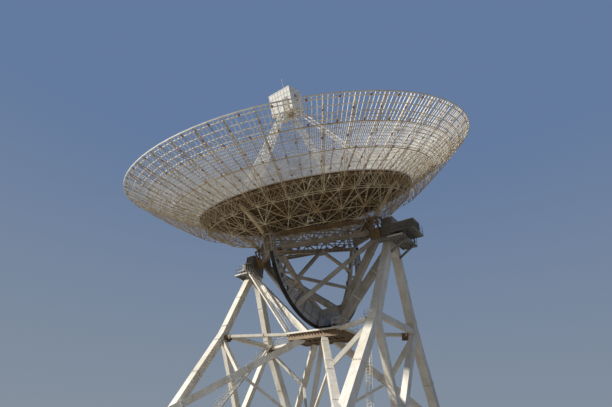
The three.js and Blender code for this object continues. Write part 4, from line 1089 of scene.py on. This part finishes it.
rack_mesh = bmesh.new()
turned(rack_mesh, [(RACK_SEAT, RACK_LOW_X), (RACK_ROOT, RACK_LOW_X), (RACK_ROOT, RACK_HIGH_X),
                   (RACK_SEAT, RACK_HIGH_X)], 96, sweep=RACK_SWEEP)
tooth = bmesh.new()
bmesh.ops.create_cone(tooth, cap_ends=True, segments=4, radius1=0.037, radius2=0.02,
                      depth=RACK_TIP - RACK_ROOT + 0.01, matrix=Matrix.Rotation(math.pi / 4, 4, "Z"))
bmesh.ops.scale(tooth, vec=(1.0, TOOTH_SCALE, 1.0), verts=tooth.verts)
laid = Matrix.Translation(((RACK_ROOT + RACK_TIP) / 2 - 0.005, 0, WHEEL_MIDDLE_X))
tooth.transform(laid @ ALONG_X @ Matrix.Rotation(math.pi, 4, "Z"))
stamp(rack_mesh, tooth, *(Matrix.Rotation(RACK_SWEEP * (k + 0.5) / TEETH, 4, "Z") for k in range(TEETH)))
rack_mesh.transform(ALONG_X @ Matrix.Rotation(-RACK_SWEEP / 2, 4, "Z"))
dish_piece("rack_teeth", rack_mesh, dark_steel, "dark_steel", "wheel_rack")
# The flange's near black steel is painted shade on its outer face, which looks down out of the sun.
flange = bmesh.new()
turned(flange, [(WHEEL_EDGE - RIM_PLATE, WHEEL_LOW_X), (WHEEL_EDGE, WHEEL_LOW_X), (WHEEL_EDGE, WHEEL_HIGH_X),
                (WHEEL_EDGE - RIM_PLATE, WHEEL_HIGH_X)],
       72, ALONG_X @ Matrix.Rotation(-math.pi / 2, 4, "Z"), math.pi)
dish_piece("wheel_flange", flange, dark_steel, "dark_steel", "elevation_wheel")

# Box stays run from the cradle's corners down to the wheel's two faces and keep it from swaying. Each ends
# in a bolted collar and a pair of gusset plates, and is painted brown-grey, darkened as painted shade for
# the dish's shadow on it.
STAY_CORNER = (5.1, 0, -0.2)
STAY_ENDS = (((1.0, -4.64), 0.42), ((-4.1, -3.425), 0.28))
STAY_SPLICES = (0.2, 0.84)
STAY_GUSSET = 0.5
WHEEL_FACES = {"left": WHEEL_LOW_X, "right": WHEEL_HIGH_X}

for name, side in SIDES.items():
    finish_nodes(painted_shade_brown_grey, "grey_paint", "wheel_stay_" + name)
    collars = bmesh.new()
    start = mirrored(STAY_CORNER, side, 1)
    for (y, s), width in STAY_ENDS:
        stop = Vector((WHEEL_FACES[name], y, s))
        splices(collars, start, stop, STAY_SPLICES, width, width)
        run = (stop - start).normalized()
        for face in (-1, 1):
            gusset = along(stop - run * STAY_GUSSET, stop, (0, 1, 0))
            gusset.translation += gusset.col[0].to_3d() * face * (width / 2 + 0.012)
            block(collars, gusset, (0.024, width * 0.9, STAY_GUSSET), 0.004)
    dish_piece("stay_collars_" + name, collars, painted_shade_brown_grey, "grey_paint")

# The dish tips on its elevation axis. Its back is a space frame of tubes between ball nodes, painted tan and
# brown with rust. Fans of tubes spread from each lower node to the nodes that carry the panels.
DISH_RADIUS = 12.5
DISH_DEPTH = 4.2
VERTEX_LIFT = 1.65
BAYS = 48
BAY = FULL_TURN / BAYS
TOP_DROP = 0.10
CHORD_TUBE = 0.023
FAN_TUBE = 0.0155
THIN_TUBE = 0.011
BALL = 0.05
UNIT_BAYS = 4
TOP_RINGS = ((7.9, 0, 0.5), (6.95, 0, 1), (5.7, 1, 2), (4.2, 0, 2), (2.6, 2, 4), (1.1, 0, 4))
LOW_RINGS = ((7.5, 2.42, 0.5, 1), (6.25, 1.6, 1, 2), (4.7, 1.2, 0, 2), (3.0, 1.2, 2, 4), (1.3, 1.2, 0, 4))
FANS = ((0, 0, 1.1), (0, 1, 0.6), (1, 1, 1.1), (1, 2, 2.1), (2, 2, 1.1), (2, 3, 2.1), (3, 3, 2.1),
        (3, 4, 0.1), (4, 4, 2.1), (4, 5, 0.1))


def surface(radius):
    """The reflector's height over the elevation axis, a parabola."""
    return VERTEX_LIFT + DISH_DEPTH * (radius / DISH_RADIUS) ** 2


def dish_point(radius, bays, height):
    """A point of the dish at a number of bays round from its right side."""
    return Vector((radius * math.cos(bays * BAY), radius * math.sin(bays * BAY), height))


def ball(mesh, centre, radius):
    """A ball node."""
    part = bmesh.new()
    bmesh.ops.create_icosphere(part, subdivisions=1, radius=radius)
    stamp(mesh, part, centre)


def nodes(ring, start, end):
    """The (bays, point) of a ring's nodes in a stretch of bays."""
    radius, height, first, step = ring
    count = math.ceil((end - start) / step - 0.01)
    places = [start + first + k * step for k in range(count)]
    return [(bays, dish_point(radius, bays, height)) for bays in places]


def link(mesh, ring, other, reach, radius):
    """Tubes from each node of one ring to the other's nodes within a reach, given in bays."""
    for bays, start in nodes(ring, 0, UNIT_BAYS):
        for there, end in nodes(other, -UNIT_BAYS, 2 * UNIT_BAYS):
            if abs(there - bays) <= reach:
                rod(mesh, start, end, radius, 5)


top_rings = [(radius, surface(radius) - TOP_DROP, first, step) for radius, first, step in TOP_RINGS]
unit = bmesh.new()
for rings, tube, size in ((top_rings, THIN_TUBE, 0.7), (LOW_RINGS, CHORD_TUBE, 1.0)):
    for i, ring in enumerate(rings):
        radius, height, first, step = ring
        for bays, at in nodes(ring, 0, UNIT_BAYS):
            rod(unit, at, dish_point(radius, bays + step, height), tube)
            ball(unit, at, BALL * size)
        if i:
            link(unit, ring, rings[i - 1], max(step * 0.8, 0.6), tube * 0.8)
for low, top, reach in FANS:
    link(unit, LOW_RINGS[low], top_rings[top], reach, FAN_TUBE)
# The pale patches of this paint are stronger than fading: partly painted highlight for sunlit tubes.
frame_paint = weathered("space frame paint", (0.50, 0.36, 0.185), (0.80, 0.70, 0.50), (0.18, 0.075, 0.02),
                        0.48)
all_bays = round_the_axis(BAYS)
for quarter, name in enumerate(("far_right", "far_left", "near_left", "near_right")):
    frame_mesh = bmesh.new()
    stamp(frame_mesh, unit.copy(), *all_bays[quarter * BAYS // 4:(quarter + 1) * BAYS // 4:UNIT_BAYS])
    dish_piece("space_frame_" + name, frame_mesh, frame_paint, "tan_paint", "back_frame_" + name)

# The inner dish is closed with stiffened metal panels, five rings of them in every bay. They are white
# inside, and dark brown with old primer and rust underneath.
PANEL_RINGS = (0.5, 2.0, 3.5, 5.0, 6.5, 7.97)
PANEL_GAP = 0.004
PANEL_THICKNESS = 0.02
RIB_DEPTH = 0.055
PANEL_BROWN = ((0.085, 0.048, 0.018), (0.15, 0.09, 0.038))
PANEL_WHITE = ((0.72, 0.71, 0.67), (0.56, 0.54, 0.49))


def on_dish(radius, bays, drop=0.0):
    """A point of the reflector's surface, or at a drop under it."""
    return dish_point(radius, bays, surface(radius) - drop)


panel_finish = Finish("reflector panels")
inside = panel_finish.upward().above(0.1, 0.3)
brown = panel_finish.mix(panel_finish.noise(1.3, 5.0).above(0.35, 0.65), *PANEL_BROWN)
white = panel_finish.mix(panel_finish.noise(0.9, 5.0).above(0.4, 0.7), *PANEL_WHITE)
panel_finish.shade(base_color=panel_finish.mix(inside, brown, white), roughness=0.75 - 0.15 * inside,
                   normal=panel_finish.bump(panel_finish.noise(24.0, 4.0), 0.2, 0.004))
bay_panels = bmesh.new()
for near, far in zip(PANEL_RINGS, PANEL_RINGS[1:]):
    panel = bmesh.new()
    corners = ((near + PANEL_GAP, 0), (far, 0), (far, 1), (near + PANEL_GAP, 1))
    panel.faces.new([panel.verts.new(on_dish(radius, abs(bays - PANEL_GAP / (radius * BAY))))
                     for radius, bays in corners])
    bmesh.ops.subdivide_edges(panel, edges=panel.edges[:], cuts=3, use_grid_fill=True)
    for vert in panel.verts:
        vert.co.z = surface(math.hypot(vert.co.x, vert.co.y))
    bmesh.ops.solidify(panel, geom=panel.faces[:], thickness=PANEL_THICKNESS)
    face_outwards(panel)
    stamp(bay_panels, panel, (0, 0, 0))
    for bays in (0.04, 0.5, 0.96):
        beam(bay_panels, on_dish(near, bays, 0.045), on_dish(far, bays, 0.045), RIB_DEPTH, 0.02)
    for share in (0.03, 0.5, 0.97):
        radius = near + share * (far - near)
        beam(bay_panels, on_dish(radius, 0, 0.05), on_dish(radius, 1, 0.05), RIB_DEPTH, 0.02)
panel_mesh = bmesh.new()
stamp(panel_mesh, bay_panels, *all_bays)
dish_piece("reflector_panels", panel_mesh, panel_finish.material, "reflector_metal", "panel_bowl")

# Outside the panels the reflector is open mesh on ribs, hoops and outrigger trusses, finer towards the
# middle. The wires are bleached white, the ribs tan, and the plates where they cross are rust brown.
SECTORS = 8
MESH_EDGE = 8.04
RIM = 12.46
RIM_TUBE = 0.06
ZONE_EDGES = (MESH_EDGE, 9.6, 11.1, RIM)
ZONE_RADIALS = (18, 12, 6)
ZONE_HOOPS = (16, 8, 4)
ZONE_WIRE = (0.028, 0.03, 0.042)
PLATE_RADII = ((0, (8.4, 9.7, 11.2, 12.35)), (0.5, (9.0, 10.4, 11.8)))
PLATE_SIZE = (0.125, 0.11, 0.03)
RIB_WIDTH = 0.03
RIB_DEEP = 0.055
RIB_DROP = 0.05
HOOP_DEEP = 0.05
OUTRIGGER_STEPS = 6
OUTRIGGER_END = 12.38
OUTRIGGER_TIP = 12.4
OUTRIGGER_SHALLOW = 0.15
OUTRIGGER_DEEP = 1.0
CHORD_ROD = 0.019
WEB_ROD = 0.013
THIN_ROD = 0.01
SMALL_BALL = 0.045


def hoop(mesh, radius, drop, width, depth):
    """One bay's stretch of a hoop, in two straight halves."""
    for half in (0, 0.5):
        beam(mesh, on_dish(radius, half, drop), on_dish(radius, half + 0.5, drop), width, depth)


def low_chord_point(radius, bays):
    """A point on an outrigger's lower chord, which rises to the mesh towards the rim."""
    share = (OUTRIGGER_TIP - radius) / (OUTRIGGER_TIP - MESH_EDGE)
    return on_dish(radius, bays, OUTRIGGER_SHALLOW + (OUTRIGGER_DEEP - OUTRIGGER_SHALLOW) * share)


wire_paint = weathered("wire paint", (0.82, 0.80, 0.74), (0.90, 0.885, 0.85), (0.44, 0.28, 0.14), 0.22)
rib_paint = weathered("rib paint", (0.50, 0.37, 0.21), (0.70, 0.61, 0.45), (0.26, 0.12, 0.045), 0.4)
plate_paint = weathered("rusty plates", (0.33, 0.17, 0.07), (0.46, 0.28, 0.14), (0.18, 0.075, 0.03), 0.45)
bay_wires = bmesh.new()
bay_ribs = bmesh.new()
hoop(bay_wires, RIM, 0.03, RIM_TUBE, RIM_TUBE)
for near, far, radials, hoops, wire in zip(ZONE_EDGES, ZONE_EDGES[1:], ZONE_RADIALS, ZONE_HOOPS, ZONE_WIRE):
    for k in range(1, radials):
        beam(bay_wires, on_dish(near, k / radials), on_dish(far, k / radials), wire, wire)
    for k in range(hoops):
        hoop(bay_wires, near + (k + 0.5) * (far - near) / hoops, wire * 0.8, wire, wire)
    for bays in (0, 0.5):
        beam(bay_ribs, on_dish(near, bays, RIB_DROP), on_dish(far, bays, RIB_DROP), RIB_DEEP, RIB_WIDTH)
    hoop(bay_ribs, near, RIB_DROP, HOOP_DEEP, RIB_WIDTH)
bay_plates = bmesh.new()
for bays, radii in PLATE_RADII:
    for radius in radii:
        slope = Matrix.Rotation(-math.atan(2 * DISH_DEPTH * radius / DISH_RADIUS ** 2), 4, "Y")
        at = Matrix.Rotation(bays * BAY, 4, "Z") @ Matrix.Translation((radius, 0, surface(radius) - 0.07))
        block(bay_plates, at @ slope, PLATE_SIZE)
bay_trusses = bmesh.new()
radii = spread(MESH_EDGE, OUTRIGGER_END, OUTRIGGER_STEPS + 1)
for near, far in zip(radii, radii[1:]):
    low_near, low_far, low_next = (low_chord_point(*at) for at in ((near, 0.5), (far, 0.5), (near, 1.5)))
    high_near, high_far, high_side = (on_dish(*at, 0.1) for at in ((near, 0.5), (far, 0.5), (near, 1)))
    rod(bay_trusses, low_near, low_far, CHORD_ROD)
    for start, end, radius in ((low_near, high_near, WEB_ROD), (low_near, high_far, WEB_ROD),
                               (low_near, low_next, WEB_ROD), (low_near, high_side, THIN_ROD),
                               (low_next, high_side, THIN_ROD)):
        rod(bay_trusses, start, end, radius, 4)
    ball(bay_trusses, low_near, SMALL_BALL)
for kind, shape, paint in (("wires", bay_wires, wire_paint), ("ribs", bay_ribs, rib_paint),
                           ("node_plates", bay_plates, plate_paint), ("outriggers", bay_trusses, rib_paint)):
    for sector in range(SECTORS):
        sector_mesh = bmesh.new()
        stamp(sector_mesh, shape.copy(), *all_bays[sector * BAYS // SECTORS:(sector + 1) * BAYS // SECTORS])
        dish_piece("mesh_%s_%d" % (kind, sector + 1), sector_mesh, paint, "reflector_metal",
                   "mesh_sector_%d" % (sector + 1))

# Four lattice legs, welded from angles and painted white, carry the feed cabin over the dish. Under the
# panels each goes on as one tube to a ball joint on the cradle.
FEED_LEGS = (("right", 0, 0.85), ("far", 12, 0.6), ("left", 24, 0.85), ("near", 36, 0.6))
FEED_FOOT_RADIUS = 7.3
FEED_FOOT_HEIGHT = 3.082
FEED_TOP_HEIGHT = 11.2
FEED_LEG_X = 0.22
FEED_LEG_Y = 0.13
FEED_ANGLE = 0.06
FEED_BAYS = 13
WIDE_ROD = 0.022
FLANK_ROD = 0.02
FEED_TUBE = 0.125
FEED_TUBE_END = (5.45, 1.25)

white_paint = weathered("white paint", (0.78, 0.765, 0.71), (0.86, 0.85, 0.82), (0.36, 0.22, 0.11), 0.18)
for name, bays, top_radius in FEED_LEGS:
    leg = bmesh.new()
    foot = dish_point(FEED_FOOT_RADIUS, bays, FEED_FOOT_HEIGHT)
    head = dish_point(top_radius, bays, FEED_TOP_HEIGHT)
    place = along(foot, head, dish_point(1.0, bays + BAYS / 4, 0.0))
    levels = spread(-(head - foot).length / 2, (head - foot).length / 2, FEED_BAYS + 1)
    for x, y in CORNERS.values():
        ends = (place @ Vector((x * FEED_LEG_X, y * FEED_LEG_Y, level)) for level in (levels[0], levels[-1]))
        beam(leg, *ends, FEED_ANGLE, FEED_ANGLE, edge=0.008)
    x, y = FEED_LEG_X, FEED_LEG_Y
    for k, (low, high) in enumerate(zip(levels, levels[1:])):
        swap = 1 if k % 2 else -1
        for side in (-1, 1):
            for start, end, radius in (((-swap * x, side * y, low), (swap * x, side * y, high), WIDE_ROD),
                                       ((-x, side * y, low), (x, side * y, low), WIDE_ROD),
                                       ((side * x, -swap * y, low), (side * x, swap * y, high), FLANK_ROD),
                                       ((side * x, -y, low), (side * x, y, low), FLANK_ROD)):
                rod(leg, place @ Vector(start), place @ Vector(end), radius, 4)
    dish_piece("feed_leg_lattice_" + name, leg, white_paint, "cream_paint", "feed_leg_" + name)
    tube = bmesh.new()
    end = dish_point(FEED_TUBE_END[0], bays, FEED_TUBE_END[1])
    rod(tube, foot + (head - foot).normalized() * 0.05, end, FEED_TUBE, 16)
    joint = bmesh.new()
    bmesh.ops.create_uvsphere(joint, u_segments=20, v_segments=12, radius=FEED_TUBE * 1.25)
    stamp(tube, joint, end + (foot - end).normalized() * 0.14)
    dish_piece("feed_leg_tube_" + name, tube, frame_paint, "tan_paint", "feed_leg_" + name)

# Two floodlights hang under the space frame and light the wheel for work at night. Each is a spun white
# steel shade on a short bracket of pipe.
LAMPS = (Vector((3.06, -4.84, 1.29)), Vector((3.21, -4.61, 1.29)))
LAMP_PROFILE = [(0.015, 0.07), (0.04, 0.07), (0.1, -0.05), (0.1, -0.07), (0.015, -0.055)]
BRACKET_RISE = UP * 0.17

lamps = bmesh.new()
for at in LAMPS:
    turned(lamps, LAMP_PROFILE, 20, at)
    rod(lamps, at + BRACKET_RISE * 0.35, at + BRACKET_RISE, 0.014)
rod(lamps, LAMPS[0] + BRACKET_RISE, LAMPS[1] + BRACKET_RISE, 0.02)
dish_piece("floodlights", lamps, white_paint, "tan_paint")

# The feed cabin is a white box of sheet panels on a steel floor frame. Its front has a lattice of stiffeners
# and a door, its right side a round dark port, and the receivers' horns show under its rusty floor.
CABIN_X = 1.05
CABIN_Y = 0.8
CABIN_LOW = 11.15
CABIN_MIDDLE = 12.075
STIFFENER = 0.03
POST_LENGTH = 1.83
POST_INSET = 0.02
FRONT_POSTS = 8
FLANK_POSTS = 5
FLOOR_BEAM = 0.07
FLOOR_BEAM_DEPTH = 0.1
PANEL_LEVELS = (11.19, 11.64, 12.1, 12.55, 12.96)
DOOR_PLACE = (0.42, -CABIN_Y - 0.02, 11.72)
DOOR_SIZE = (0.5, 0.03, 0.98)
PORT_PLACE = Matrix.Translation((1.05, -0.05, 12.15)) @ ALONG_X
PORT_RADIUS = 0.27
PORT_PROFILE = [(0.22, 0), (PORT_RADIUS, 0), (PORT_RADIUS, 0.05), (0.22, 0.05)]
HORNS = ((-0.45, -0.2, 0.2), (0.1, 0.15, 0.27), (0.6, -0.25, 0.16))
FLOOR_BEAM_X = (-1.0, -0.5, 0.0, 0.35, 0.72, 1.0)
FLOOR_BEAM_Y = (-0.76, -0.3, 0.3, 0.76)

finish_nodes(white_paint, "cream_paint", "feed_cabin")
door_paint = weathered("door paint", (0.36, 0.33, 0.27), (0.50, 0.47, 0.40), (0.22, 0.12, 0.05), 0.35)
frames = bmesh.new()
for side in (-1, 1):
    front, flank = side * CABIN_Y, side * CABIN_X
    for level in PANEL_LEVELS:
        block(frames, (0, front, level), (2 * CABIN_X, STIFFENER, 0.035))
        block(frames, (flank, 0, level), (STIFFENER, 2 * CABIN_Y, 0.035))
    for x in spread(POST_INSET - CABIN_X, CABIN_X - POST_INSET, FRONT_POSTS):
        block(frames, (x, front, CABIN_MIDDLE), (STIFFENER, STIFFENER, POST_LENGTH))
    for y in spread(POST_INSET - CABIN_Y, CABIN_Y - POST_INSET, FLANK_POSTS):
        block(frames, (flank, y, CABIN_MIDDLE), (STIFFENER, STIFFENER, POST_LENGTH))
dish_piece("cabin_frames", frames, white_paint, "cream_paint")
fittings = bmesh.new()
block(fittings, DOOR_PLACE, DOOR_SIZE, 0.006)
disc(fittings, PORT_PLACE @ Matrix.Translation((0, 0, 0.02)), PORT_RADIUS - 0.04, 0.02, 32)
turned(fittings, PORT_PROFILE, 32, PORT_PLACE)
for x, y, radius in HORNS:
    turned(fittings, [(radius, -0.3), (radius * 0.94, -0.3), (radius * 0.3, 0.0), (radius * 0.36, 0.0)], 24,
           (x, y, CABIN_LOW - 0.02))
dish_piece("cabin_fittings", fittings, door_paint, "cream_paint")
floor_frame = bmesh.new()
for x in FLOOR_BEAM_X:
    block(floor_frame, (x, 0, CABIN_LOW - FLOOR_BEAM_DEPTH / 2), (FLOOR_BEAM, 2 * CABIN_Y, FLOOR_BEAM_DEPTH))
for y in FLOOR_BEAM_Y:
    block(floor_frame, (0, y, CABIN_LOW - FLOOR_BEAM_DEPTH / 2), (2 * CABIN_X, FLOOR_BEAM, FLOOR_BEAM_DEPTH))
dish_piece("cabin_floor_frame", floor_frame, rib_paint, "cream_paint")
